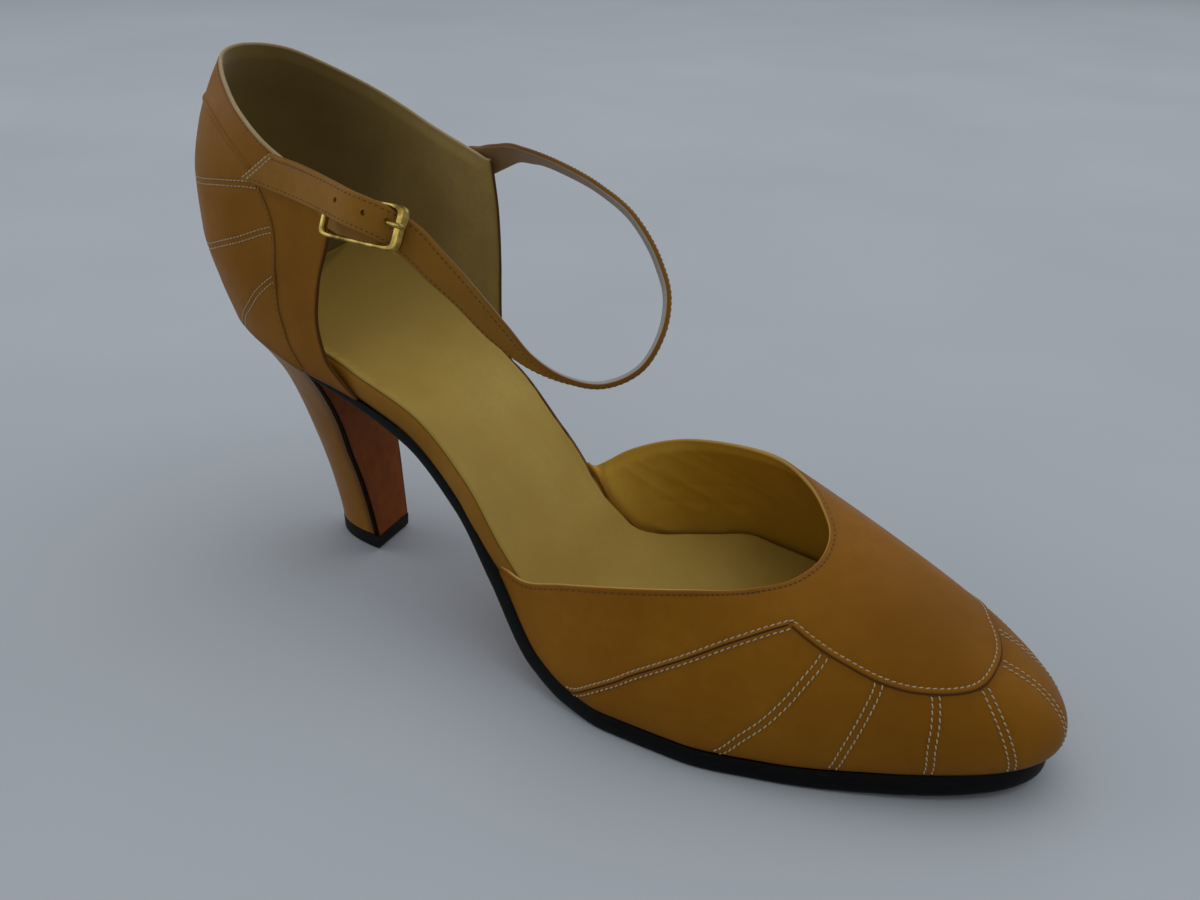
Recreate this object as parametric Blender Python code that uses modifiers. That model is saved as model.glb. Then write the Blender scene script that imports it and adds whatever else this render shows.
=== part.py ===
"""Ankle strap heel, a right shoe, built as separate named solids in metres, +X toe, +Y inner side, +Z up."""
import math

import bmesh
import bpy
import numpy as np
from mathutils import Matrix, Vector

# Driving sizes in millimetres. Lengths along the shoe run from the back of the heel seat.
MM = 0.001
REST_X = 45.0
GAP = 0.3
SHOE_LONG = 230.0
SEAT_BACK = 6.0
TREAD_START = 146.0
TREAD_END = 164.0
TOE_BLUNT = 0.05
SOLE_THICK = 4.4
WALL = 1.8
UPPER_INSET = 0.8
INSOLE_THICK = 4.4
INSOLE_BACK = 9.4
INSOLE_FRONT = 225.2
INSOLE_END_EASE = 14.0
BREAST_X = 43.0
BREAST_SKEW = 0.2
SKEW_FADE = 34.0
BREAST_COVER_THICK = 1.3
TOP_PIECE_HEIGHT = 5.0
SEAT_HALF = 23.0
STRAP_WIDTH = 7.6
STRAP_THICK = 1.8
STRAP_TIP_SLANT = 6.0
STRAP_TIP_RINGS = 7.0
STRAP_HOLE_RADIUS = 1.9
STRAP_HOLE_AT = (82.0, -32.4, 99.4)
BUCKLE_LONG = 27.0
BUCKLE_TALL = 11.6
BUCKLE_DEEP = 1.5
BUCKLE_SIDE_BAR = 0.9
BUCKLE_LEFT_BAR = 1.6
BUCKLE_RIGHT_BAR = 3.0
BUCKLE_LEFT_AT = (64.0, -30.1, 98.1)
BUCKLE_RIGHT_AT = (89.8, -33.0, 99.5)
BUCKLE_EDGE = 0.35
PRONG_RADIUS = 0.6
CHAPE_THICK = 1.3
CHAPE_TALL = 5.6

# Sole outline: a row per station along the shoe.
OUTLINE_COLUMNS = ("x", "feather_z", "lateral", "medial")
OUTLINE = (
    (SEAT_BACK, 62.2, 0.0, 0.0),
    (8.6, 61.9, 9.0, 9.0),
    (14.0, 61.2, 14.8, 14.6),
    (20.0, 60.2, 18.4, 18.0),
    (30.0, 58.4, 21.8, 21.0),
    (44.0, 55.4, 23.8, 22.4),
    (62.0, 53.2, 25.0, 21.6),
    (82.0, 48.6, 26.5, 18.6),
    (100.0, 36.3, 28.5, 16.6),
    (112.0, 23.9, 31.0, 18.0),
    (126.0, 10.2, 34.7, 24.4),
    (136.0, 6.0, 37.3, 29.8),
    (TREAD_START, SOLE_THICK, 39.0, 34.0),
    (TREAD_END, SOLE_THICK, 38.6, 37.6),
    (181.0, 5.2, 34.3, 35.2),
    (203.0, 7.0, 25.3, 26.4),
    (216.0, 7.6, 18.2, 18.8),
    (225.0, 7.9, 11.0, 11.4),
    (SHOE_LONG, 8.1, 0.0, 0.0),
)
SOLE_THICKNESS_COLUMNS = ("x", "thick")
SOLE_THICKNESS = ((BREAST_X, 1.2), (52.0, 2.0), (70.0, 3.4), (90.0, 4.0), (130.0, SOLE_THICK), (SHOE_LONG, SOLE_THICK))

# How far the insole stands in from the outline: wide at the open waist, inside the wall elsewhere.
INSOLE_INSET_COLUMNS = ("x", "lateral", "medial")
INSOLE_INSET = (
    (SEAT_BACK, 3.3, 3.3),
    (68.0, 3.3, 3.3),
    (72.0, 0.6, 3.3),
    (83.0, 0.6, 3.3),
    (87.0, 0.6, 0.6),
    (96.0, 0.6, 0.6),
    (100.0, 0.6, 4.6),
    (103.0, 0.6, 4.8),
    (107.0, 4.2, 4.8),
    (124.0, 3.6, 3.8),
    (SHOE_LONG, 3.6, 3.6),
)

# Heel: a row per level under the seat, each level a D section with its flat side at the breast.
HEEL_COLUMNS = ("breast_z", "back_z", "breast_x", "back_x", "half_width", "fullness")
HEEL = (
    (50.6, 57.4, 42.6, 11.5, 20.4, 2.3),
    (44.0, 49.5, 43.6, 18.5, 16.8, 2.3),
    (37.0, 40.0, 44.5, 23.6, 14.0, 2.3),
    (29.0, 30.0, 45.3, 28.2, 11.8, 2.3),
    (20.0, 20.0, 47.4, 32.0, 10.0, 2.3),
    (10.0, 10.0, 49.2, 34.8, 8.6, 2.3),
    (5.3, 5.3, 50.0, 36.0, 8.0, 2.3),
)
TOP_PIECE_COLUMNS = ("z", "breast_x", "back_x", "half_width")
TOP_PIECE = ((5.0, 51.7, 35.7, 8.2), (0.5, 51.6, 36.0, 8.0), (0.0, 51.1, 36.5, 7.6))

# Quarter wall: how far it stands out of the seat outline at each share of its height.
QUARTER_COLUMNS = ("share", "back_out", "lateral_out", "medial_out")
QUARTER_WALL = (
    (0.0, 0.0, 0.0, 0.0),
    (0.15, 3.0, 1.3, 1.8),
    (0.35, 5.8, 2.2, 3.2),
    (0.55, 6.2, 2.4, 4.0),
    (0.75, 5.0, 2.0, 4.2),
    (0.9, 2.2, 1.5, 4.0),
    (1.0, -2.4, 1.0, 3.8),
)
TOPLINE_COLUMNS = ("x", "z")
QUARTER_TOPLINE = ((SEAT_BACK, 124.8), (12.0, 123.2), (20.0, 119.8), (30.0, 115.0), (45.0, 108.0), (66.0, 101.2))
FRONT_COLUMNS = ("share", "lateral_x", "medial_x")
QUARTER_FRONT = (
    (0.0, 65.6, 82.0),
    (0.06, 60.6, 76.0),
    (0.14, 57.0, 73.0),
    (0.3, 55.8, 71.0),
    (0.5, 57.4, 70.0),
    (0.75, 61.4, 68.6),
    (1.0, 64.2, 66.0),
)

# Vamp topline: a row per point, with the share of the feather line below it.
QUARTER_BACK_BLEND = 32.0
VAMP_COLUMNS = ("reach", "x", "y", "z", "round_power")
VAMP_TOPLINE = (
    (0.0, 111.4, -29.9, 27.0, 0.8),
    (0.039, 118.4, -31.2, 25.6, 0.8),
    (0.096, 131.0, -33.8, 29.0, 0.75),
    (0.168, 147.6, -34.8, 33.6, 0.62),
    (0.25, 161.4, -31.5, 36.1, 0.52),
    (0.332, 171.0, -25.0, 36.9, 0.46),
    (0.4, 177.6, -16.5, 38.4, 0.43),
    (0.45, 179.3, -8.0, 40.6, 0.43),
    (0.489, 177.0, 0.0, 42.2, 0.47),
    (0.529, 170.5, 8.5, 43.8, 0.5),
    (0.582, 162.0, 17.0, 44.0, 0.54),
    (0.657, 150.2, 25.0, 42.9, 0.57),
    (0.76, 128.5, 28.3, 39.6, 0.6),
    (0.875, 113.0, 23.6, 35.4, 0.7),
    (0.971, 105.6, 18.2, 32.6, 0.8),
    (1.0, 103.6, 17.0, 34.4, 0.8),
)
VAMP_LATERAL_START = 110.8
VAMP_MEDIAL_END = 103.0
VAMP_BULGE = 1.6
VAMP_TOE_BULGE = 3.6
VAMP_TOE_REACH = 0.489
VAMP_TOE_SPAN = 0.16
VAMP_SPREAD = 2.6
VAMP_END_EASE = 0.12
VAMP_BULGE_LOW = 0.7

# Strap: a row per point of its middle line, with the direction of its width.
STRAP_COLUMNS = ("x", "y", "z", "wide_x", "wide_y", "wide_z")
STRAP = (
    (54.0, 27.5, 100.0, 0.25, 0.0, 0.97),
    (61.0, 27.6, 98.8, 0.2, 0.0, 0.98),
    (67.0, 27.6, 99.6, 0.3, -0.4, 0.86),
    (73.5, 25.8, 102.2, 0.46, -0.66, 0.58),
    (81.6, 22.5, 103.9, 0.52, -0.74, 0.42),
    (94.7, 19.0, 103.3, 0.54, -0.76, 0.36),
    (107.3, 15.0, 101.2, 0.54, -0.77, 0.32),
    (120.5, 9.5, 97.0, 0.54, -0.77, 0.32),
    (129.1, 5.0, 90.7, 0.54, -0.77, 0.32),
    (134.7, 0.0, 84.6, 0.53, -0.78, 0.32),
    (136.5, -5.0, 78.5, 0.52, -0.79, 0.32),
    (134.6, -10.0, 71.9, 0.5, -0.8, 0.32),
    (128.3, -15.0, 68.3, 0.48, -0.8, 0.34),
    (121.2, -19.0, 69.3, 0.44, -0.78, 0.44),
    (114.4, -22.2, 72.8, 0.4, -0.62, 0.66),
    (108.5, -25.0, 78.7, 0.46, -0.32, 0.82),
    (100.7, -28.0, 87.3, 0.5, -0.1, 0.86),
    (96.0, -29.6, 91.6, 0.4, 0.0, 0.92),
    (89.8, -30.3, 96.7, 0.22, 0.0, 0.97),
    (86.6, -30.4, 97.8, 0.16, 0.0, 0.98),
    (83.2, -31.9, 98.9, 0.12, 0.0, 0.99),
    (80.0, -33.6, 99.8, 0.1, 0.0, 0.99),
    (77.0, -34.3, 100.6, 0.1, 0.0, 0.99),
    (70.0, -33.7, 101.7, 0.1, 0.0, 0.99),
    (63.0, -32.5, 102.5, 0.1, 0.0, 0.99),
    (55.0, -29.3, 103.3, 0.12, 0.0, 0.99),
    (48.0, -28.3, 104.0, 0.14, 0.0, 0.99),
    (42.0, -27.9, 104.6, 0.3, 0.0, 0.95),
)
PRONG_COLUMNS = ("x", "y", "z")
PRONG = (
    (65.2, -30.4, 99.2),
    (72.0, -30.9, 99.3),
    (79.4, -31.0, 99.4),
    (81.0, -31.6, 99.4),
    (82.6, -33.0, 99.5),
    (84.0, -33.9, 99.5),
    (86.5, -34.7, 99.6),
    (91.6, -34.9, 99.6),
)

# Colours of the materials.
TAN = (0.46, 0.2, 0.035, 1.0)
SOCK = (0.5, 0.28, 0.07, 1.0)
BLACK = (0.012, 0.011, 0.011, 1.0)
BROWN = (0.19, 0.055, 0.028, 1.0)
GOLD = (0.83, 0.6, 0.18, 1.0)


def column(rows, columns, name):
    """Return one named column of a table as an array."""
    return np.array([row[columns.index(name)] for row in rows], dtype=float)


def smooth(xs, ys, at):
    """Interpolate a table with a monotone cubic that keeps flat runs flat."""
    step = np.diff(xs)
    slope = np.diff(ys) / step
    tangent = np.zeros_like(ys)
    same = slope[1:] * slope[:-1] > 0.0
    weight_a = 2.0 * step[1:] + step[:-1]
    weight_b = step[1:] + 2.0 * step[:-1]
    safe_a = np.where(same, slope[:-1], 1.0)
    safe_b = np.where(same, slope[1:], 1.0)
    tangent[1:-1] = np.where(same, (weight_a + weight_b) / (weight_a / safe_a + weight_b / safe_b), 0.0)
    tangent[0] = slope[0]
    tangent[-1] = slope[-1]
    at = np.clip(np.asarray(at, dtype=float), xs[0], xs[-1])
    cell = np.clip(np.searchsorted(xs, at, side="right") - 1, 0, len(xs) - 2)
    width = step[cell]
    part = (at - xs[cell]) / width
    rest = 1.0 - part
    start = (1.0 + 2.0 * part) * rest**2 * ys[cell] + part * rest**2 * width * tangent[cell]
    end = part**2 * (3.0 - 2.0 * part) * ys[cell + 1] - part**2 * rest * width * tangent[cell + 1]
    return start + end


def flowing(xs, ys, at):
    """Interpolate a table with a cubic through each row whose slope flows from row to row."""
    tangent = np.gradient(ys, xs)
    at = np.clip(np.asarray(at, dtype=float), xs[0], xs[-1])
    cell = np.clip(np.searchsorted(xs, at, side="right") - 1, 0, len(xs) - 2)
    width = np.diff(xs)[cell]
    part = (at - xs[cell]) / width
    rest = 1.0 - part
    start = (1.0 + 2.0 * part) * rest**2 * ys[cell] + part * rest**2 * width * tangent[cell]
    end = part**2 * (3.0 - 2.0 * part) * ys[cell + 1] - part**2 * rest * width * tangent[cell + 1]
    return start + end


def table(rows, columns, name, at, key="x"):
    """Read a table's column at positions of its key column."""
    return smooth(column(rows, columns, key), column(rows, columns, name), at)


def feather(x):
    """Height of the feather line over the floor."""
    return table(OUTLINE, OUTLINE_COLUMNS, "feather_z", x)


def half_width(x, side):
    """Half width of the sole on one side, from its squares so the ends are round."""
    xs = column(OUTLINE, OUTLINE_COLUMNS, "x")
    squares = column(OUTLINE, OUTLINE_COLUMNS, side) ** 2
    return np.sqrt(np.maximum(smooth(xs, squares, x), 0.0))


def stations(start, end, count):
    """Stations along the shoe, closer together towards both ends."""
    turn = np.linspace(0.0, math.pi, count)
    return start + (end - start) * (1.0 - np.cos(turn)) / 2.0


def tidy_scene():
    """Remove every object so the build starts empty."""
    for item in list(bpy.data.objects):
        bpy.data.objects.remove(item, do_unlink=True)


def new_collection(name):
    """Make a collection under the scene."""
    collection = bpy.data.collections.new(name)
    bpy.context.scene.collection.children.link(collection)
    return collection


def new_material(name, colour, roughness, metallic=0.0):
    """Make a Principled material."""
    material = bpy.data.materials.new(name)
    material.use_nodes = True
    shader = material.node_tree.nodes["Principled BSDF"]
    shader.inputs["Base Color"].default_value = colour
    shader.inputs["Roughness"].default_value = roughness
    shader.inputs["Metallic"].default_value = metallic
    material.diffuse_color = colour
    return material


def new_object(name, points, faces, collection, material):
    """Make a mesh object from points in millimetres, moved so the heel rest is the origin."""
    verts = (np.asarray(points, dtype=float) - np.array((REST_X, 0.0, 0.0))) * MM
    mesh = bpy.data.meshes.new(name)
    mesh.from_pydata(verts.tolist(), [], faces)
    mesh.update()
    item = bpy.data.objects.new(name, mesh)
    collection.objects.link(item)
    if material is not None:
        mesh.materials.append(material)
    return item


def grid_faces(rows, columns, start=0, flip=False):
    """Quads of a grid of points."""
    faces = []
    for row in range(rows - 1):
        for col in range(columns - 1):
            a = start + row * columns + col
            face = (a, a + 1, a + columns + 1, a + columns)
            faces.append(face[::-1] if flip else face)
    return faces


def outward(item):
    """Turn all faces of a closed mesh outward."""
    work = bmesh.new()
    work.from_mesh(item.data)
    bmesh.ops.recalc_face_normals(work, faces=work.faces)
    work.to_mesh(item.data)
    work.free()


def solidify(item, thickness):
    """Give an open surface a wall on its inner side."""
    modifier = item.modifiers.new("wall", "SOLIDIFY")
    modifier.thickness = thickness * MM
    modifier.offset = -1.0
    modifier.use_even_offset = True
    modifier.use_quality_normals = True


def slab(name, top, bottom, collection, material):
    """Loft a closed slab between a top grid and a bottom grid of the same shape."""
    rows, columns, _ = top.shape
    count = rows * columns
    faces = grid_faces(rows, columns)
    faces += grid_faces(rows, columns, start=count, flip=True)
    rim = list(range(columns))
    rim += [row * columns + columns - 1 for row in range(1, rows)]
    rim += [(rows - 1) * columns + col for col in range(columns - 2, -1, -1)]
    rim += [row * columns for row in range(rows - 2, 0, -1)]
    for a, b in zip(rim, rim[1:] + rim[:1]):
        faces.append((a, a + count, b + count, b))
    points = np.concatenate([top.reshape(-1, 3), bottom.reshape(-1, 3)])
    item = new_object(name, points, faces, collection, material)
    outward(item)
    return item


def across(lateral, medial, columns):
    """Cross positions from the lateral edge to the medial edge at each station."""
    share = np.linspace(0.0, 1.0, columns)
    return -lateral[:, None] * (1.0 - share) + medial[:, None] * share


def build_outsole(collection, material):
    """Outsole: the outline as a slab whose thickness is measured square to its slope."""
    columns = 5
    start = BREAST_X + GAP
    turn = np.linspace(0.0, math.pi / 2.0, 14)[:-1]
    x = np.concatenate([np.linspace(start, TREAD_START, 24)[:-1], np.linspace(TREAD_START, TREAD_END, 4)[:-1],
                        TREAD_END + (SHOE_LONG - TREAD_END) * np.sin(turn), [SHOE_LONG - TOE_BLUNT]])
    slope = np.gradient(feather(x), x)
    slope[(x >= TREAD_START) & (x <= TREAD_END)] = 0.0
    thick = table(SOLE_THICKNESS, SOLE_THICKNESS_COLUMNS, "thick", x)
    y = across(half_width(x, "lateral"), half_width(x, "medial"), columns)
    size = np.sqrt(1.0 + slope**2)
    fade = np.clip(1.0 - (x - start) / SKEW_FADE, 0.0, 1.0)
    skewed = x[:, None] - BREAST_SKEW * y * fade[:, None]
    top = np.stack([skewed, y, feather(skewed)], axis=2)
    drop = np.stack([slope / size, np.zeros_like(x), -1.0 / size], axis=1) * thick[:, None]
    drop[0, 0] = 0.0
    bottom = top + drop[:, None, :]
    return slab("outsole", top, bottom, collection, material)


def build_insole(collection, material):
    """Insole: the outline moved in, on top of the outsole and the heel seat."""
    columns = 5
    x = stations(INSOLE_BACK, INSOLE_FRONT, 46)[1:-1]
    stretched = SEAT_BACK + (x - INSOLE_BACK) / (INSOLE_FRONT - INSOLE_BACK) * (SHOE_LONG - SEAT_BACK)
    ease = np.clip(np.minimum(x - INSOLE_BACK, INSOLE_FRONT - x) / INSOLE_END_EASE, 0.0, 1.0)
    sides = []
    for side in ("lateral", "medial"):
        away = table(INSOLE_INSET, INSOLE_INSET_COLUMNS, side, x) * ease
        full = half_width(x, side) * ease + half_width(stretched, side) * (1.0 - ease)
        sides.append(np.maximum(full - away, TOE_BLUNT))
    y = across(sides[0], sides[1], columns)
    z = feather(x) + GAP + INSOLE_THICK
    grid = np.stack([np.broadcast_to(x[:, None], y.shape), y, np.broadcast_to(z[:, None], y.shape)], axis=2)
    slope = np.gradient(z, x)
    size = np.sqrt(1.0 + slope**2)
    drop = np.stack([slope / size, np.zeros_like(x), -1.0 / size], axis=1) * INSOLE_THICK
    drop[:, 0] *= ease
    base = grid + drop[:, None, :]
    base[:, :, 2] = np.maximum(base[:, :, 2], feather(base[:, :, 0]) + GAP)
    return slab("insole", grid, base, collection, material)


def d_section(breast_x, back_x, wide, fullness, count):
    """Half ring of a D section from the lateral breast corner round the back to the medial corner."""
    turn = np.linspace(-math.pi / 2.0, math.pi / 2.0, count)
    along = np.abs(np.cos(turn)) ** (2.0 / fullness)
    side = np.sign(np.sin(turn)) * np.abs(np.sin(turn)) ** (2.0 / fullness)
    x = breast_x + (back_x - breast_x) * along
    return x - BREAST_SKEW * wide * side, wide * side, along


def loft_levels(name, levels, collection, material):
    """Close a stack of D rings with a flat breast face, a top and a bottom."""
    rows, columns, _ = levels.shape
    faces = grid_faces(rows, columns)
    for row in range(rows - 1):
        a = row * columns
        faces.append((a + columns - 1, a, a + columns, a + 2 * columns - 1))
    for base in (0, (rows - 1) * columns):
        for col in range(columns // 2):
            ring = (base + col, base + col + 1, base + columns - 2 - col, base + columns - 1 - col)
            faces.append(ring if ring[1] != ring[2] else (ring[0], ring[1], ring[3]))
    item = new_object(name, levels.reshape(-1, 3), faces, collection, material)
    outward(item)
    return item


def build_heel(collection, material):
    """Heel block: seat outline lofted down through the D sections of its table."""
    count = 33
    rings = []
    for row in HEEL:
        level = dict(zip(HEEL_COLUMNS, row))
        x, y, along = d_section(level["breast_x"], level["back_x"], level["half_width"], level["fullness"], count)
        z = level["breast_z"] + (level["back_z"] - level["breast_z"]) * along
        rings.append(np.stack([x, y, z], axis=1))
    x, y, along = d_section(BREAST_X, SEAT_BACK, SEAT_HALF, HEEL[0][5], count)
    front = np.where(y < 0.0, x[0], x[-1])
    x = front + (SEAT_BACK - front) * along
    y = np.where(y < 0.0, -half_width(x, "lateral"), half_width(x, "medial"))
    y[count // 2] = 0.0
    seat = np.stack([x, y, feather(x)], axis=1)
    keys = np.arange(len(rings) + 1, dtype=float)
    stack = np.stack([seat] + rings)
    fine = np.linspace(0.0, keys[-1], 15)
    levels = np.stack([smooth_stack(keys, stack, at) for at in fine])
    return loft_levels("heel_block", levels, collection, material)


def smooth_stack(keys, stack, at):
    """Interpolate whole rings between the levels of a stack."""
    flat = stack.reshape(len(keys), -1)
    tangent = np.gradient(flat, keys, axis=0)
    cell = int(np.clip(np.floor(at), 0, len(keys) - 2))
    part = at - keys[cell]
    rest = 1.0 - part
    start = (1.0 + 2.0 * part) * rest**2 * flat[cell] + part * rest**2 * tangent[cell]
    end = part**2 * (3.0 - 2.0 * part) * flat[cell + 1] - part**2 * rest * tangent[cell + 1]
    return (start + end).reshape(stack.shape[1:])


def build_breast_cover(collection, material):
    """Breast cover: a thin leather flap standing in front of the flat side of the heel."""
    columns = 3
    keys = -column(HEEL, HEEL_COLUMNS, "breast_z")
    z = np.linspace(HEEL[0][0] - GAP, TOP_PIECE_HEIGHT + GAP, 15)
    x = flowing(keys, column(HEEL, HEEL_COLUMNS, "breast_x"), -z) + GAP + BREAST_COVER_THICK
    wide = column(HEEL, HEEL_COLUMNS, "half_width")
    half = flowing(keys, wide, -z)
    y = across(half, half, columns)
    grid = np.stack([x[:, None] - BREAST_SKEW * y, y, np.broadcast_to(z[:, None], y.shape)], axis=2)
    item = new_object("heel_breast_cover", grid.reshape(-1, 3), grid_faces(len(z), columns, flip=True),
                      collection, material)
    solidify(item, BREAST_COVER_THICK)
    return item


def build_top_piece(collection, material):
    """Top piece: the walking tip, flat underneath."""
    rings = []
    for row in TOP_PIECE:
        level = dict(zip(TOP_PIECE_COLUMNS, row))
        x, y, _ = d_section(level["breast_x"], level["back_x"], level["half_width"], HEEL[0][5], 33)
        rings.append(np.stack([x, y, np.full_like(x, level["z"])], axis=1))
    return loft_levels("heel_top_piece", np.stack(rings), collection, material)


def build_quarter(collection, material):
    """Quarter: a wall round the seat outline, from the lateral front edge round the back to the medial one."""
    rows = 13
    columns = 41
    share = np.linspace(0.0, 1.0, rows) ** 1.15
    along = np.linspace(-1.0, 1.0, columns)
    lateral_front = table(QUARTER_FRONT, FRONT_COLUMNS, "lateral_x", share, key="share")
    medial_front = table(QUARTER_FRONT, FRONT_COLUMNS, "medial_x", share, key="share")
    grid = np.zeros((rows, columns, 3))
    for row in range(rows):
        front = np.where(along < 0.0, lateral_front[row], medial_front[row])
        x = SEAT_BACK + (front - SEAT_BACK) * np.abs(along) ** 2.0
        y = np.where(along < 0.0, -half_width(x, "lateral"), half_width(x, "medial"))
        normal = outline_normal(x, along)
        side = np.where(along < 0.0,
                        table(QUARTER_WALL, QUARTER_COLUMNS, "lateral_out", share[row], key="share"),
                        table(QUARTER_WALL, QUARTER_COLUMNS, "medial_out", share[row], key="share"))
        back = table(QUARTER_WALL, QUARTER_COLUMNS, "back_out", share[row], key="share")
        blend = np.clip((x - SEAT_BACK - 4.0) / QUARTER_BACK_BLEND, 0.0, 1.0)
        blend = blend**2 * (3.0 - 2.0 * blend)
        out = back * (1.0 - blend) + side * blend
        low = feather(x) + GAP
        top = table(QUARTER_TOPLINE, TOPLINE_COLUMNS, "z", x)
        grid[row, :, 0] = x + normal[:, 0] * out
        grid[row, :, 1] = y + normal[:, 1] * out
        grid[row, :, 2] = low + (top - low) * share[row]
    item = new_object("quarter", grid.reshape(-1, 3), grid_faces(rows, columns, flip=True), collection, material)
    solidify(item, WALL)
    return item


def outline_normal(x, along):
    """Outward normal of the seat outline in plan."""
    small = 0.05
    low = np.maximum(x - small, SEAT_BACK)
    high = x + small
    lateral = (half_width(high, "lateral") - half_width(low, "lateral")) / (high - low)
    medial = (half_width(high, "medial") - half_width(low, "medial")) / (high - low)
    slope = np.where(along < 0.0, lateral, medial)
    slope = np.where(x < SEAT_BACK + small / 2.0, 1.0e3, slope)
    size = np.sqrt(1.0 + slope**2)
    return np.stack([-slope / size, np.where(along < 0.0, -1.0, 1.0) / size], axis=1)


def vamp_feather(reach):
    """Feather line under the vamp by share of its length, from the lateral end round the toe, with normals."""
    turn = np.linspace(0.0, 1.0, 400)
    lateral_x = VAMP_LATERAL_START + (SHOE_LONG - VAMP_LATERAL_START) * (1.0 - (1.0 - turn) ** 2)
    medial_x = SHOE_LONG + (VAMP_MEDIAL_END - SHOE_LONG) * turn**2
    lateral = np.stack([lateral_x, -half_width(lateral_x, "lateral")], axis=1)
    medial = np.stack([medial_x, half_width(medial_x, "medial")], axis=1)
    line = np.concatenate([lateral, medial[1:]])
    tangent = np.gradient(line, axis=0)
    tangent /= np.linalg.norm(tangent, axis=1)[:, None]
    normal = np.stack([tangent[:, 1], -tangent[:, 0]], axis=1)
    line = line - normal * UPPER_INSET
    length = np.concatenate([[0.0], np.cumsum(np.linalg.norm(np.diff(line, axis=0), axis=1))])
    length /= length[-1]
    spot = np.stack([np.interp(reach, length, line[:, axis]) for axis in (0, 1)], axis=1)
    out = np.stack([np.interp(reach, length, normal[:, axis]) for axis in (0, 1)], axis=1)
    return spot, out


def build_vamp(collection, material):
    """Vamp: a surface fanned from the feather line up to the throat, round at the toe, upright at the sides."""
    rows = 13
    columns = 57
    reach = np.linspace(0.0, 1.0, columns)
    keys = column(VAMP_TOPLINE, VAMP_COLUMNS, "reach")
    spot, out = vamp_feather(reach)
    low = feather(spot[:, 0]) + GAP
    top = np.stack([flowing(keys, column(VAMP_TOPLINE, VAMP_COLUMNS, axis), reach) for axis in "xyz"], axis=1)
    power = flowing(keys, column(VAMP_TOPLINE, VAMP_COLUMNS, "round_power"), reach)
    rise = np.linspace(0.0, 1.0, rows)
    grid = np.zeros((rows, columns, 3))
    ends = np.clip(np.minimum(reach, 1.0 - reach) / VAMP_END_EASE, 0.0, 1.0)
    toe = np.exp(-((reach - VAMP_TOE_REACH) / VAMP_TOE_SPAN) ** 2)
    full = (VAMP_BULGE + (VAMP_TOE_BULGE - VAMP_BULGE) * toe) * ends
    for row in range(rows):
        inward = rise[row] ** VAMP_SPREAD
        bulge = full * math.sin(math.pi * rise[row] ** VAMP_BULGE_LOW)
        grid[row, :, :2] = spot + (top[:, :2] - spot) * inward + out * bulge[:, None]
        grid[row, :, 2] = low + (top[:, 2] - low) * inward**power
    item = new_object("vamp", grid.reshape(-1, 3), grid_faces(rows, columns), collection, material)
    solidify(item, WALL)
    return item


def sweep_rows(rows, columns, count):
    """Resample a path table evenly by length."""
    points = np.array(rows, dtype=float)
    keys = np.concatenate([[0.0], np.cumsum(np.linalg.norm(np.diff(points[:, :3], axis=0), axis=1))])
    at = np.linspace(0.0, keys[-1], count)
    return np.stack([flowing(keys, points[:, axis], at) for axis in range(len(columns))], axis=1)


def build_strap(collection, material, cutters):
    """Ankle strap: a ribbon of even width and thickness swept along its table, with the prong's hole cut."""
    path = sweep_rows(STRAP, STRAP_COLUMNS, 90)
    middle = path[:, :3]
    tangent = np.gradient(middle, axis=0)
    tangent /= np.linalg.norm(tangent, axis=1)[:, None]
    wide = path[:, 3:]
    wide = wide - tangent * np.sum(wide * tangent, axis=1)[:, None]
    wide /= np.linalg.norm(wide, axis=1)[:, None]
    share = np.linspace(-0.5, 0.5, 3)
    grid = middle[:, None, :] + wide[:, None, :] * (share * STRAP_WIDTH)[None, :, None]
    tail = np.clip(1.0 - (len(middle) - 1 - np.arange(len(middle))) / STRAP_TIP_RINGS, 0.0, 1.0)
    grid -= tangent[:, None, :] * (tail[:, None] * share[None, :] * STRAP_TIP_SLANT)[:, :, None]
    thick = np.cross(tangent, wide)
    upper = grid + thick[:, None, :] * STRAP_THICK / 2.0
    lower = grid - thick[:, None, :] * STRAP_THICK / 2.0
    item = slab("ankle_strap", upper, lower, collection, material)
    bpy.ops.mesh.primitive_cylinder_add(vertices=24, radius=STRAP_HOLE_RADIUS * MM, depth=8.0 * MM)
    cutter = bpy.context.active_object
    cutter.name = "strap_hole_cutter"
    place = (Vector(STRAP_HOLE_AT) - Vector((REST_X, 0.0, 0.0))) * MM
    cutter.data.transform(Matrix.Translation(place) @ Matrix.Rotation(math.pi / 2.0, 4, "X"))
    move_to(cutter, cutters)
    boolean(item, cutter)
    return item


def move_to(item, collection):
    """Keep an object in one collection only."""
    for old in list(item.users_collection):
        old.objects.unlink(item)
    collection.objects.link(item)
    item.hide_render = True
    item.display_type = "WIRE"


def boolean(item, cutter):
    """Cut one solid out of another exactly."""
    modifier = item.modifiers.new("cut", "BOOLEAN")
    modifier.operation = "DIFFERENCE"
    modifier.solver = "EXACT"
    modifier.object = cutter


def box(name, low, high, collection, material):
    """Make a box from its two corners in millimetres."""
    bpy.ops.mesh.primitive_cube_add(size=1.0)
    item = bpy.context.active_object
    item.name = name
    size = Vector(high) - Vector(low)
    middle = (Vector(low) + Vector(high)) / 2.0
    item.data.transform(Matrix.Translation(middle * MM) @ Matrix.Diagonal(size * MM).to_4x4())
    for old in list(item.users_collection):
        old.objects.unlink(item)
    collection.objects.link(item)
    if material is not None:
        item.data.materials.append(material)
    return item


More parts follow.
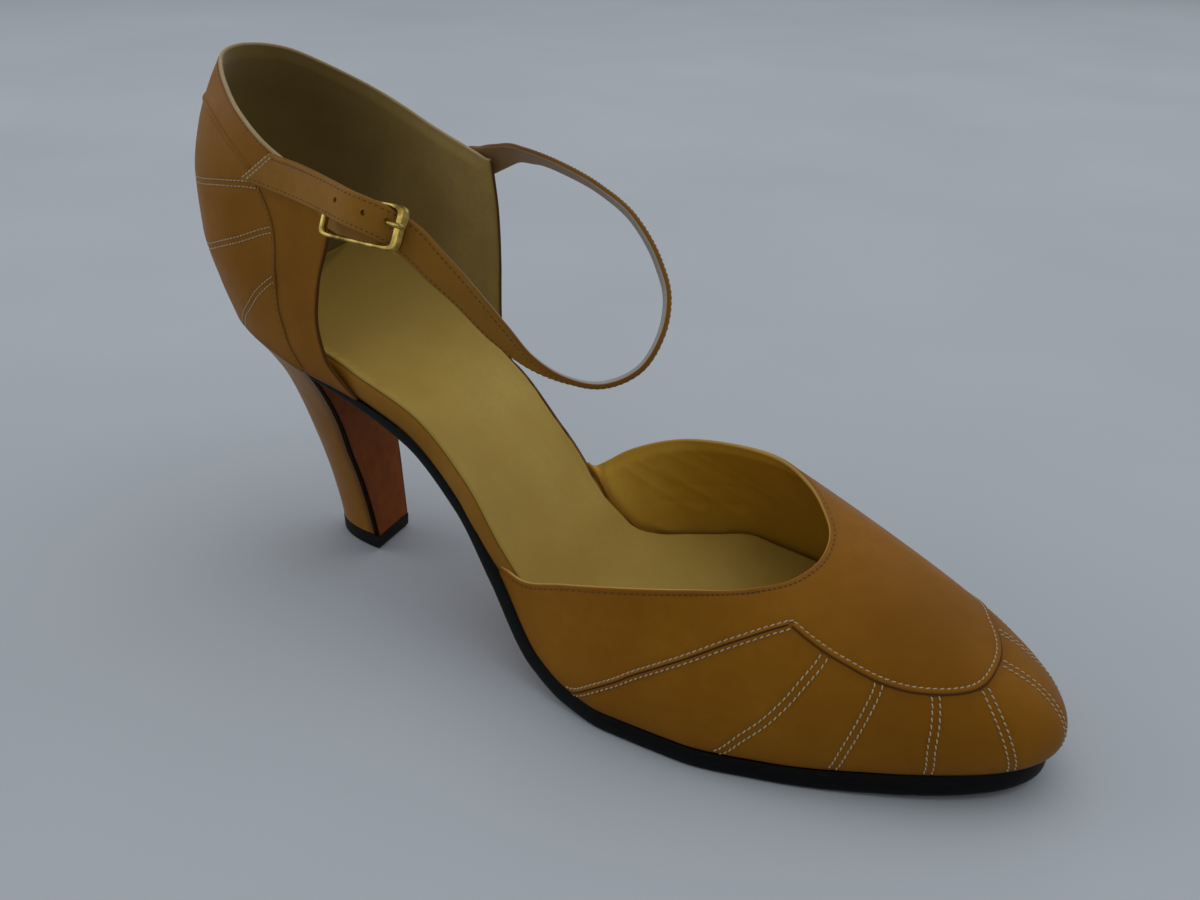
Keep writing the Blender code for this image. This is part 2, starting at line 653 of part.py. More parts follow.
def buckle_frame_matrix():
    """Turn buckle coordinates, long axis X, outward -Y, into the shoe's place."""
    left = Vector(BUCKLE_LEFT_AT) - Vector((REST_X, 0.0, 0.0))
    right = Vector(BUCKLE_RIGHT_AT) - Vector((REST_X, 0.0, 0.0))
    along = (right - left).normalized()
    up = Vector((0.0, 0.0, 1.0))
    up = (up - along * up.dot(along)).normalized()
    deep = up.cross(along)
    turn = Matrix((along, deep, up)).transposed().to_4x4()
    return Matrix.Translation(left * MM) @ turn


def build_buckle(collection, material, cutters):
    """Buckle frame: a flat rectangle with a window, wide at the front bar."""
    half_tall = BUCKLE_TALL / 2.0
    half_deep = BUCKLE_DEEP / 2.0
    low_x = -BUCKLE_LEFT_BAR / 2.0
    item = box("buckle_frame", (low_x, -half_deep, -half_tall), (low_x + BUCKLE_LONG, half_deep, half_tall),
               collection, material)
    window = box("buckle_window_cutter", (low_x + BUCKLE_LEFT_BAR, -3.0, -half_tall + BUCKLE_SIDE_BAR),
                 (low_x + BUCKLE_LONG - BUCKLE_RIGHT_BAR, 3.0, half_tall - BUCKLE_SIDE_BAR), cutters, None)
    move_to(window, cutters)
    place = buckle_frame_matrix()
    item.data.transform(place)
    window.data.transform(place)
    boolean(item, window)
    bevel = item.modifiers.new("edge", "BEVEL")
    bevel.width = BUCKLE_EDGE * MM
    bevel.segments = 2
    bevel.limit_method = "ANGLE"
    return item


def build_prong(collection, material):
    """Prong: a round rod from the hinge bar up through the strap on to the front bar."""
    path = sweep_rows(PRONG, PRONG_COLUMNS, 20)
    tangent = np.gradient(path, axis=0)
    tangent /= np.linalg.norm(tangent, axis=1)[:, None]
    up = np.array((0.0, 0.0, 1.0)) - tangent * tangent[:, 2:3]
    up /= np.linalg.norm(up, axis=1)[:, None]
    side = np.cross(tangent, up)
    turn = np.linspace(0.0, 2.0 * math.pi, 8, endpoint=False)
    ring = np.cos(turn)[None, :, None] * up[:, None, :] + np.sin(turn)[None, :, None] * side[:, None, :]
    points = path[:, None, :] + ring * PRONG_RADIUS
    rows, columns, _ = points.shape
    faces = []
    for row in range(rows - 1):
        for col in range(columns):
            a = row * columns + col
            b = row * columns + (col + 1) % columns
            faces.append((a, b, b + columns, a + columns))
    faces.append(tuple(range(columns)))
    faces.append(tuple(range((rows - 1) * columns, rows * columns)))
    item = new_object("buckle_prong", points.reshape(-1, 3), faces, collection, material)
    outward(item)
    return item


def build_chape(collection, material):
    """Chape: a short tab between the outer quarter corner and the hinge bar."""
    x = np.linspace(50.0, 65.4, 8)
    y = np.interp(x, (50.0, 60.0, 65.4), (-26.75, -27.55, -28.1)) - CHAPE_THICK
    z = np.linspace(-0.5, 0.5, 4) * CHAPE_TALL
    middle = np.interp(x, (50.0, 65.4), (95.7, 95.4))
    grid = np.zeros((len(x), len(z), 3))
    grid[:, :, 0] = x[:, None]
    grid[:, :, 1] = y[:, None]
    grid[:, :, 2] = middle[:, None] + z[None, :]
    item = new_object("buckle_chape", grid.reshape(-1, 3), grid_faces(len(x), len(z), flip=True), collection, material)
    solidify(item, CHAPE_THICK)
    return item


def main():
    """Build every piece."""
    tidy_scene()
    collection = new_collection("ankle_strap_heel")
    cutters = new_collection("cutters")
    build_outsole(collection, new_material("sole_edge_black", BLACK, 0.45))
    build_heel(collection, new_material("heel_cover_tan", TAN, 0.42))
    build_breast_cover(collection, new_material("breast_leather_brown", BROWN, 0.5))
    build_top_piece(collection, new_material("top_piece_black", BLACK, 0.5))
    build_insole(collection, new_material("insole_sock_tan", SOCK, 0.55))
    build_vamp(collection, new_material("vamp_leather_tan", TAN, 0.4))
    build_quarter(collection, new_material("quarter_leather_tan", TAN, 0.4))
    build_strap(collection, new_material("strap_leather_tan", TAN, 0.42), cutters)
    gold = new_material("buckle_gold", GOLD, 0.22, 1.0)
    build_buckle(collection, gold, cutters)
    build_prong(collection, new_material("prong_gold", GOLD, 0.22, 1.0))
    build_chape(collection, new_material("chape_leather_tan", TAN, 0.45))
    cutters.hide_render = True


main()
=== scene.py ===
"""Looks of an ankle strap heel, a right shoe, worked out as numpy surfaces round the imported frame."""
import logging
import math
from abc import ABC, abstractmethod
from collections.abc import Callable, Sequence
from dataclasses import dataclass, field
from enum import Enum

import bmesh
import bpy
import numpy as np
from mathutils import Matrix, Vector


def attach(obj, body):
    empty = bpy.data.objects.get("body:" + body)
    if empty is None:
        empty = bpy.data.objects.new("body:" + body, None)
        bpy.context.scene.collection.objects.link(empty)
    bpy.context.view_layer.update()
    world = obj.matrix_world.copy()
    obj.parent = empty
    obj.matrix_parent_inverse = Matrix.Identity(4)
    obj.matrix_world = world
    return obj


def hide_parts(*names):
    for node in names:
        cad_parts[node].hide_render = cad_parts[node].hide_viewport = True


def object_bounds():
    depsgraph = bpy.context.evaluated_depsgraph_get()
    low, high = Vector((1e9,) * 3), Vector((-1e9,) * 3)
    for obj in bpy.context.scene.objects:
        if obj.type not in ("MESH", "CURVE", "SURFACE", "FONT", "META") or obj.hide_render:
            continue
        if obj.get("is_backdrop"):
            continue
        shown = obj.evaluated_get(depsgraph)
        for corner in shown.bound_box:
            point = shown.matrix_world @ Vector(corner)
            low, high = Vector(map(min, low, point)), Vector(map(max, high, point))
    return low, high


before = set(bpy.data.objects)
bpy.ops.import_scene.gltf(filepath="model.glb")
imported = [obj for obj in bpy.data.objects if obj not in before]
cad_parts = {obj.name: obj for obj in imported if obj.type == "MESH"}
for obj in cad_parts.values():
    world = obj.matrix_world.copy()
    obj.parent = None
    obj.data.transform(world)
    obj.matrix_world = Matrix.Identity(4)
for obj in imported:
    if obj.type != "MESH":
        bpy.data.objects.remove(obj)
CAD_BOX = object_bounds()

LOG = logging.getLogger("ankle_strap_heel")
Array = np.ndarray
Colour = tuple[float, float, float]
Point = tuple[float, float, float]
Pair = tuple[float, float]
Knots = tuple[Pair, ...]
Item = bpy.types.Object
Material = bpy.types.Material
Socket = bpy.types.NodeSocket

MM = 0.001
REST_X = 45.0
GAP = 0.3
SEAT_GAP = GAP / 3.0
BODY = "root"


class Slot(Enum):
    """Material slots, named in the log."""

    SOLE_EDGE = "sole_edge"
    HEEL_COVER = "heel_cover"
    BREAST = "breast_leather"
    TOP_PIECE = "top_piece"
    SOCK = "sock"
    UPPER = "upper"
    STRAP = "strap"
    BUCKLE = "buckle"


class Side(Enum):
    """Sides of a right shoe, with the sign of Y there."""

    LATERAL = -1.0
    MEDIAL = 1.0


# Tables and curves

def cubic(xs: Array, ys: Array, tangent: Array, at: Array) -> Array:
    """Hermite cubic through table rows.

    Args:
        xs: Rising keys.
        ys: Values at the keys, or a row of values for each key.
        tangent: Slopes at the keys.
        at: Places to read.

    Returns:
        Values at those places, held at the ends.
    """
    at = np.clip(np.asarray(at, dtype=float), xs[0], xs[-1])
    cell = np.clip(np.searchsorted(xs, at, side="right") - 1, 0, len(xs) - 2)
    shape = at.shape + (1,) * (ys.ndim - 1)
    width = np.diff(xs)[cell].reshape(shape)
    part = (at - xs[cell]).reshape(shape) / width
    rest = 1 - part
    start = (1 + 2 * part) * rest**2 * ys[cell] + part * rest**2 * width * tangent[cell]
    end = part**2 * (3 - 2 * part) * ys[cell + 1] - part**2 * rest * width * tangent[cell + 1]
    return start + end


def monotone(xs: Array, ys: Array, at: Array) -> Array:
    """Cubic whose slope is the harmonic mean of its neighbours, so flat runs stay flat.

    Args:
        xs: Rising keys.
        ys: Values at the keys.
        at: Places to read.

    Returns:
        Values at those places.
    """
    step = np.diff(xs)
    slope = np.diff(ys) / step
    tangent = np.zeros_like(ys)
    same = slope[1:] * slope[:-1] > 0
    weight_a = 2.0 * step[1:] + step[:-1]
    weight_b = step[1:] + 2.0 * step[:-1]
    safe_a = np.where(same, slope[:-1], 1.0)
    safe_b = np.where(same, slope[1:], 1.0)
    mean = (weight_a + weight_b) / (weight_a / safe_a + weight_b / safe_b)
    tangent[1:-1] = np.where(same, mean, 0.0)
    tangent[0], tangent[-1] = slope[0], slope[-1]
    return cubic(xs, ys, tangent, at)


def flowing(xs: Array, ys: Array, at: Array) -> Array:
    """Cubic whose slope flows from row to row by central differences."""
    return cubic(xs, ys, np.gradient(ys, xs, axis=0), at)


def ease(value: Array) -> Array:
    """Smooth step from 0 to 1."""
    value = np.clip(value, 0, 1)
    return value * value * (3 - 2 * value)


def unit(vectors: Array) -> Array:
    """Vectors scaled to length one."""
    return vectors / np.maximum(np.linalg.norm(vectors, axis=-1, keepdims=True), 1.0e-9)


def run_length(points: Array, axis: int = 0) -> Array:
    """Length along one axis of a row or grid of points, from zero."""
    run = np.cumsum(np.linalg.norm(np.diff(points, axis=axis), axis=-1), axis=axis)
    return np.concatenate([np.zeros_like(np.take(run, [0], axis=axis)), run], axis=axis)


def straight(xs: Array, ys: Array, at: Array) -> Array:
    """Rows of values read with straight steps between the keys."""
    return np.stack([np.interp(at, xs, column) for column in ys.T], axis=-1)


def bell(away: Array, width: float) -> Array:
    """Bell curve of a distance, 1 at zero."""
    return np.exp(-((away / width) ** 2))


def quarter_round(share: Array) -> Array:
    """Height of a quarter circle by share of its width, flat after it."""
    return np.sqrt(1 - (1 - np.clip(share, 0, 1)) ** 2)


def circle(count: int) -> Array:
    """Even angles once round."""
    return np.linspace(0, 2 * math.pi, count, endpoint=False)


def squared(wave: Array, power: float) -> Array:
    """A sine or cosine made squarer by a power under one."""
    return np.sign(wave) * np.abs(wave) ** power


def in_frame(points: Array) -> Array:
    """Places on the shoe in millimetres, as metres in the shared frame."""
    return (points - np.array((REST_X, 0.0, 0.0))) * MM


def posed(spot: Array, *axes: Array) -> Matrix:
    """Transform to a spot in metres with the given axes."""
    turn = Matrix(np.stack(axes, axis=1).tolist()).to_4x4()
    return Matrix.Translation(np.asarray(spot).tolist()) @ turn


def linked(name: str, data: bpy.types.ID) -> Item:
    """A new object in the scene."""
    item = bpy.data.objects.new(name, data)
    bpy.context.scene.collection.objects.link(item)
    return item


@dataclass(frozen=True)
class Table:
    """Rows of chosen sizes with named columns."""

    columns: str
    rows: tuple[tuple[float, ...], ...]

    def column(self, name: str) -> Array:
        """One named column, or the keys for an empty name."""
        index = self.columns.split().index(name) if name else 0
        return np.array([row[index] for row in self.rows], dtype=float)

    def even(self, name: str, at: Array) -> Array:
        """A column read by the first column with the monotone cubic."""
        return monotone(self.column(""), self.column(name), at)

    def flow(self, name: str, at: Array) -> Array:
        """A column read by the first column with the flowing cubic."""
        return flowing(self.column(""), self.column(name), at)

    def along(self, count: int) -> Array:
        """All columns of a path table, sampled evenly along its length."""
        points = np.array(self.rows, dtype=float)
        keys = run_length(points[:, :3])
        return flowing(keys, points, np.linspace(0, keys[-1], count))


# Meshes

def grid_quads(rows: int, columns: int, start: int = 0, flip: bool = False, wrap: bool = False) -> Array:
    """Quads of a grid of points.

    Args:
        rows: Grid rows.
        columns: Grid columns.
        start: Index of the first point.
        flip: Turn the faces round.
        wrap: Join the last column to the first.

    Returns:
        One row of four indices for each quad.
    """
    across = np.arange(columns if wrap else columns - 1)
    a = start + np.arange(rows - 1)[:, None] * columns + across[None, :]
    b = start + np.arange(rows - 1)[:, None] * columns + (across[None, :] + 1) % columns
    quads = np.stack([a, b, b + columns, a + columns], axis=2).reshape(-1, 4)
    return quads[:, ::-1] if flip else quads


def tube_faces(rows: int, columns: int, flip: bool = False) -> tuple[Array, Array]:
    """Side quads and both end faces of a stack of rings."""
    ends = np.stack([np.arange(columns)[::-1], np.arange((rows - 1) * columns, rows * columns)])
    return grid_quads(rows, columns, flip=flip, wrap=True), ends[:, ::-1] if flip else ends


@dataclass
class MeshParts:
    """Points, faces, face materials and point attributes gathered for one mesh."""

    points: list[Array] = field(default_factory=list)
    faces: list[Array] = field(default_factory=list)
    zones: list[Array] = field(default_factory=list)
    tones: list[Array] = field(default_factory=list)
    total: int = 0
    weld_gap: float = 0.002

    def add(self, points: Array, faces: Sequence[Array], zones: Sequence[Array] | int = 0,
            tone: Array | float = 0.0) -> None:
        """Add a patch of points in millimetres with its faces.

        Args:
            points: Any array of points, three numbers each.
            faces: Index arrays that count from this patch's first point.
            zones: A material number for the patch, or one array for each face array.
            tone: How far each point is darkened, from 0 to 1.
        """
        flat = points.reshape(-1, 3)
        for index, group in enumerate(faces):
            self.faces.append(np.asarray(group) + self.total)
            zone = np.full(len(group), zones) if isinstance(zones, int) else np.asarray(zones[index])
            self.zones.append(zone)
        self.points.append(flat)
        tone = np.broadcast_to(np.asarray(tone, dtype=float), points.shape[:-1])
        self.tones.append(tone.reshape(-1))
        self.total += len(flat)

    def build(self, name: str, materials: Sequence[Material], weld: bool = False,
              recalc: bool = False) -> Item:
        """Put the gathered patches into one smooth mesh object at the origin.

        Args:
            name: Piece name.
            materials: Materials in zone order.
            weld: Merge points that coincide, which closes patches that share a border.
            recalc: Turn all faces of the closed mesh outward.

        Returns:
            The object, linked to the scene.
        """
        points = in_frame(np.concatenate(self.points))
        sizes = np.concatenate([np.full(len(group), group.shape[1]) for group in self.faces])
        corners = np.concatenate([group.reshape(-1) for group in self.faces])
        mesh = bpy.data.meshes.new(name)
        mesh.vertices.add(len(points))
        mesh.vertices.foreach_set("co", points.astype(np.float32).ravel())
        mesh.loops.add(len(corners))
        mesh.loops.foreach_set("vertex_index", corners.astype(np.int32))
        mesh.polygons.add(len(sizes))
        mesh.polygons.foreach_set("loop_start", (np.cumsum(sizes) - sizes).astype(np.int32))
        mesh.polygons.foreach_set("material_index", np.concatenate(self.zones).astype(np.int32))
        mesh.polygons.foreach_set("use_smooth", np.ones(len(sizes), dtype=bool))
        tone = mesh.attributes.new("tone", "FLOAT", "POINT")
        tone.data.foreach_set("value", np.concatenate(self.tones).astype(np.float32))
        mesh.update(calc_edges=True)
        mesh.validate()
        if weld or recalc:
            work = bmesh.new()
            work.from_mesh(mesh)
            if weld:
                bmesh.ops.remove_doubles(work, verts=work.verts, dist=self.weld_gap * MM)
            if recalc:
                bmesh.ops.recalc_face_normals(work, faces=work.faces)
            work.to_mesh(mesh)
            work.free()
        for material in materials:
            mesh.materials.append(material)
        return linked(name, mesh)


def place(item: Item, slot: Slot, *nodes: str) -> Item:
    """Ride a piece on the shoe, hide the solids it stands for and log it with its slot.

    Args:
        item: The finished piece.
        slot: Its material slot.
        *nodes: Solids that it replaces.

    Returns:
        The same piece.
    """
    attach(item, BODY)
    if nodes:
        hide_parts(*nodes)
    faces = len(item.data.polygons)
    LOG.info("%s: %d faces, slot %s, stands for %s", item.name, faces, slot.value, nodes or "nothing")
    return item


# Finishes

class Shader:
    """Wires one Principled material from small procedural steps on Object coordinates."""

    def __init__(self, name: str, roughness: float, metallic: float = 0.0, coat: float = 0.0,
                 coat_roughness: float = 0.3, sheen: float = 0.0, specular: float = 0.5) -> None:
        """Make the material with its constant sockets set."""
        self.material = bpy.data.materials.new(name)
        self.material.use_nodes = True
        self.roughness = roughness
        self.tree = self.material.node_tree
        self.main = self.tree.nodes["Principled BSDF"]
        constants = {"Roughness": roughness, "Metallic": metallic, "Coat Weight": coat,
                     "Coat Roughness": coat_roughness, "Sheen Weight": sheen,
                     "Specular IOR Level": specular}
        for socket, value in constants.items():
            self.main.inputs[socket].default_value = value
        self.coords = self.tree.nodes.new("ShaderNodeTexCoord").outputs["Object"]

    def link(self, source: Socket, target: Socket) -> None:
        """Join two sockets."""
        self.tree.links.new(source, target)

    def node(self, kind: str, constants: dict[str, float | Point], **sources: Socket) -> bpy.types.Node:
        """A new node with constants on its sockets and links into others."""
        node = self.tree.nodes.new(f"ShaderNode{kind}")
        for socket, value in constants.items():
            node.inputs[socket].default_value = value
        for socket, source in sources.items():
            self.link(source, node.inputs[socket])
        return node

    def noise(self, scale: float, detail: float = 3.0, stretch: Point = (1.0, 1.0, 1.0)) -> Socket:
        """Noise of a given scale, stretched along the axes."""
        place = self.node("Mapping", {"Scale": stretch}, Vector=self.coords).outputs["Vector"]
        return self.node("TexNoise", {"Scale": scale, "Detail": detail}, Vector=place).outputs["Fac"]

    def cells(self, scale: float) -> Socket:
        """Distance to the nearest cell centre, for pores."""
        return self.node("TexVoronoi", {"Scale": scale}, Vector=self.coords).outputs["Distance"]

    def tone(self) -> Socket:
        """The mesh's own darkening attribute."""
        node = self.node("Attribute", {})
        node.attribute_name = "tone"
        return node.outputs["Fac"]

    def ramp(self, source: Socket, low: float, high: float, dark: Colour, light: Colour) -> Socket:
        """Colour ramp between two stops."""
        node = self.node("ValToRGB", {}, Fac=source)
        for stop, place, colour in zip(node.color_ramp.elements, (low, high), (dark, light)):
            stop.position = place
            stop.color = (*colour, 1.0)
        return node.outputs["Color"]

    def span(self, source: Socket, low: float, high: float, start: float, end: float) -> Socket:
        """Map a value range to another."""
        limits = {"From Min": low, "From Max": high, "To Min": start, "To Max": end}
        return self.node("MapRange", limits, Value=source).outputs["Result"]

    def blend(self, factor: Socket, first: Socket, second: Colour) -> Socket:
        """Mix a colour into another by a factor."""
        node = self.node("Mix", {})
        node.data_type = "RGBA"
        self.link(factor, node.inputs[0])
        self.link(first, node.inputs[6])
        node.inputs[7].default_value = (*second, 1.0)
        return node.outputs[2]

    def bump(self, layers: Sequence[tuple[Socket, float, float]]) -> None:
        """Chain bump layers on to the surface.

        Args:
            layers: Height source, strength and depth in millimetres, coarsest first.
        """
        last: dict[str, Socket] = {}
        for source, strength, depth in layers:
            sizes = {"Strength": strength, "Distance": depth * MM}
            last = {"Normal": self.node("Bump", sizes, Height=source, **last).outputs["Normal"]}
        self.link(last["Normal"], self.main.inputs["Normal"])

    def colour(self, source: Socket) -> None:
        """Set the base colour."""
        self.link(source, self.main.inputs["Base Color"])

    def rough(self, source: Socket, low: float, high: float, less: float, more: float) -> None:
        """Vary the roughness round its constant as a value goes from low to high."""
        varied = self.span(source, low, high, self.roughness - less, self.roughness + more)
        self.link(varied, self.main.inputs["Roughness"])


@dataclass(frozen=True)
class SmoothLeather:
    """Smooth dyed calf: cloudy dye, fine pores, a light polish and dark seams from the tone attribute,
    which blends in real dirt and ink together with painted shade.
    """

    name: str
    dark: Colour
    light: Colour
    burnt_and_shade: Colour
    roughness: float = 0.42
    coat: float = 0.01
    specular: float = 0.06
    coat_roughness: float = 0.32
    cloud_scale: float = 34.0
    speck_scale: float = 420.0
    speck: float = 0.35
    rub_scale: float = 160.0
    crease_scale: float = 260.0
    pore_scale: float = 1500.0
    grain_scale: float = 4200.0

    def material(self) -> Material:
        """Build the leather."""
        shader = Shader(self.name, self.roughness, coat=self.coat, coat_roughness=self.coat_roughness,
                        specular=self.specular)
        dye = shader.ramp(shader.noise(self.cloud_scale, 4.0), 0.3, 0.72, self.dark, self.light)
        speck = shader.span(shader.noise(self.speck_scale), 0.35, 0.75, 0.0, self.speck)
        dye = shader.blend(speck, dye, self.dark)
        # The tone blends the darkening colour in: real dirt, burnish and ink, and painted shade at seams,
        # stitch rows and strap edges.
        shader.colour(shader.blend(shader.tone(), dye, self.burnt_and_shade))
        shader.rough(shader.noise(self.rub_scale), 0.2, 0.8, less=0.07, more=0.1)
        shader.bump(((shader.noise(self.crease_scale, 5.0), 0.25, 0.12),
                     (shader.cells(self.pore_scale), 0.3, 0.05),
                     (shader.noise(self.grain_scale, 2.0), 0.2, 0.03)))
        return shader.material


@dataclass(frozen=True)
class SoftLining:
    """Napped or glazed lining leather: streaky colour, short nap, soft rubbed marks and darkening from the
    tone attribute, which is real ink and dirt at edges and painted shade in folds and hollows.
    """

    name: str
    dark: Colour
    light: Colour
    stain_and_shade: Colour
    roughness: float = 0.7
    sheen: float = 0.0
    streak: Point = (1.0, 1.0, 1.0)
    specular: float = 0.15
    cloud_scale: float = 48.0
    nap_scale: float = 900.0
    nap: float = 0.4
    rub_scale: float = 14.0
    rub: float = 0.3
    crease_scale: float = 210.0
    grain_scale: float = 2400.0

    def material(self) -> Material:
        """Build the lining."""
        shader = Shader(self.name, self.roughness, sheen=self.sheen, specular=self.specular)
        cloud = shader.noise(self.cloud_scale, 5.0, self.streak)
        dye = shader.ramp(cloud, 0.28, 0.74, self.dark, self.light)
        nap = shader.span(shader.noise(self.nap_scale), 0.3, 0.75, 0.0, self.nap)
        dye = shader.blend(nap, dye, self.dark)
        rubbed = shader.span(shader.noise(self.rub_scale, 2.0), 0.5, 0.75, 0.0, self.rub)
        dye = shader.blend(rubbed, dye, self.stain_and_shade)
        # The tone blends the stain colour in as real ink and dirt at edges and as painted shade in folds,
        # at the heel and on the strap's inner face.
        shader.colour(shader.blend(shader.tone(), dye, self.stain_and_shade))
        shader.rough(cloud, 0.2, 0.8, less=0.06, more=0.08)
        shader.bump(((shader.noise(self.crease_scale, 4.0), 0.3, 0.15),
                     (shader.noise(self.grain_scale, 2.0), 0.3, 0.06)))
        return shader.material


@dataclass(frozen=True)
class EdgeInk:
    """Edge ink or moulded rubber: near black, waxed, with fine scratches and a dusty lower edge."""

    name: str
    ink: Colour
    dust: Colour
    roughness: float = 0.42
    scratch: Point = (1.0, 1.0, 6.0)
    scratch_scale: float = 300.0
    grain_scale: float = 1800.0

    def material(self) -> Material:
        """Build the ink."""
        shader = Shader(self.name, self.roughness, specular=0.1)
        marks = shader.noise(self.scratch_scale, 6.0, self.scratch)
        inked = shader.ramp(marks, 0.55, 0.85, self.ink, self.dust)
        shader.colour(shader.blend(shader.tone(), inked, self.dust))
        shader.rough(marks, 0.3, 0.75, less=0.08, more=0.16)
        shader.bump(((marks, 0.3, 0.1), (shader.noise(self.grain_scale, 2.0), 0.25, 0.04)))
        return shader.material


@dataclass(frozen=True)
class SoleLeather:
    """Firm sole leather: fibrous, scuffed along the shoe, with ink at its edges from the tone attribute."""

    name: str
    dark: Colour
    light: Colour
    ink: Colour
    roughness: float = 0.5
    fibre_scale: float = 260.0
    fibre_run: Point = (0.35, 1.0, 1.0)
    grain_scale: float = 2000.0

    def material(self) -> Material:
        """Build the sole leather."""
        shader = Shader(self.name, self.roughness, specular=0.06)
        fibre = shader.noise(self.fibre_scale, 6.0, self.fibre_run)
        hide = shader.ramp(fibre, 0.3, 0.72, self.dark, self.light)
        shader.colour(shader.blend(shader.tone(), hide, self.ink))
        shader.rough(fibre, 0.25, 0.75, less=0.1, more=0.12)
        shader.bump(((fibre, 0.3, 0.12), (shader.noise(self.grain_scale, 2.0), 0.2, 0.04)))
        return shader.material


@dataclass(frozen=True)
class Plated:
    """Plated brass: bright gold with fine rubbing and darker, duller patches spread by noise."""

    name: str
    bright: Colour
    dull: Colour
    roughness: float = 0.14
    rub_scale: float = 260.0

    def material(self) -> Material:
        """Build the plating."""
        shader = Shader(self.name, self.roughness, metallic=1.0)
        rub = shader.noise(self.rub_scale, 4.0)
        shader.colour(shader.ramp(rub, 0.36, 0.62, self.dull, self.bright))
        shader.rough(rub, 0.25, 0.75, less=0.06, more=0.14)
        shader.bump(((rub, 0.06, 0.05),))
        return shader.material


@dataclass(frozen=True)
class Thread:
    """Waxed sewing thread with a fine twist."""

    name: str
    dark: Colour
    light: Colour
    roughness: float = 0.62
    twist_scale: float = 3200.0

    def material(self) -> Material:
        """Build the thread."""
        shader = Shader(self.name, self.roughness, sheen=0.1)
        twist = shader.noise(self.twist_scale, 2.0)
        shader.colour(shader.ramp(twist, 0.3, 0.65, self.dark, self.light))
        shader.bump(((twist, 0.5, 0.08),))
        return shader.material


@dataclass(frozen=True)
class PaleFloor:
    """Plain pale cloth-grey floor with a trace of mottling."""

    name: str
    dark: Colour
    light: Colour
    roughness: float = 0.85
    mottle_scale: float = 5.0
    grain_scale: float = 900.0

    def material(self) -> Material:
        """Build the floor finish."""
        shader = Shader(self.name, self.roughness, specular=0.2)
        shader.colour(shader.ramp(shader.noise(self.mottle_scale), 0.3, 0.7, self.dark, self.light))
        shader.bump(((shader.noise(self.grain_scale, 2.0), 0.15, 0.1),))
        return shader.material


class Finishes:
    """Every finish of the shoe, made once."""

    def __init__(self) -> None:
        """Mix the finishes."""
        # The first colour is what the tone attribute darkens calf towards: real burnish, dirt and ink, and
        # painted shade.
        burnt_and_shade, ink, dust = (0.05, 0.02, 0.008), (0.003, 0.003, 0.0028), (0.016, 0.015, 0.013)
        self.upper = SmoothLeather("upper_calf", (0.222, 0.083, 0.004), (0.31, 0.125, 0.007),
                                   burnt_and_shade).material()
        self.fold = SmoothLeather("topline_fold", (0.44, 0.25, 0.055), (0.56, 0.36, 0.105), burnt_and_shade,
                                  roughness=0.5).material()
        self.heel = SmoothLeather("heel_calf", (0.23, 0.09, 0.0065), (0.32, 0.135, 0.0115), burnt_and_shade,
                                  roughness=0.38, coat=0.028, specular=0.1).material()
        self.strap = SmoothLeather("strap_calf", (0.25, 0.106, 0.0115), (0.34, 0.163, 0.025), burnt_and_shade,
                                   roughness=0.46).material()
        self.strap_back = SoftLining("strap_lining", (0.32, 0.295, 0.275), (0.445, 0.43, 0.41),
                                     (0.28, 0.162, 0.052), 0.6).material()
        self.raw_edge = SoftLining("topline_edge", (0.36, 0.27, 0.14), (0.5, 0.4, 0.24),
                                   (0.28, 0.18, 0.08), 0.6).material()
        self.vamp_lining = SoftLining("vamp_lining", (0.44, 0.235, 0.017), (0.57, 0.33, 0.036),
                                      (0.26, 0.115, 0.01), 0.5, streak=(1.0, 1.0, 0.4)).material()
        self.quarter_lining = SoftLining("quarter_lining", (0.285, 0.19, 0.05), (0.46, 0.33, 0.1),
                                         (0.135, 0.085, 0.02), 0.85, sheen=0.2).material()
        self.sock = SoftLining("sock_leather", (0.41, 0.267, 0.05), (0.51, 0.355, 0.086),
                               (0.28, 0.172, 0.032), 0.55).material()
        self.sole_edge = EdgeInk("sole_ink", ink, dust).material()
        self.rubber = EdgeInk("heel_tip_rubber", (0.008, 0.007, 0.006), dust, 0.5).material()
        self.sole_leather = SoleLeather("sole_leather", (0.19, 0.046, 0.007), (0.28, 0.076, 0.012),
                                        ink).material()
        self.gold = Plated("buckle_gold", (0.56, 0.4, 0.1), (0.12, 0.07, 0.01)).material()
        self.cream_thread = Thread("cream_thread", (0.34, 0.26, 0.14), (0.56, 0.46, 0.29)).material()
        self.tan_thread = Thread("tan_thread", (0.055, 0.022, 0.005), (0.1, 0.042, 0.01)).material()
        self.floor = PaleFloor("pale_floor", (0.475, 0.515, 0.565), (0.515, 0.555, 0.605)).material()


# Form of the last

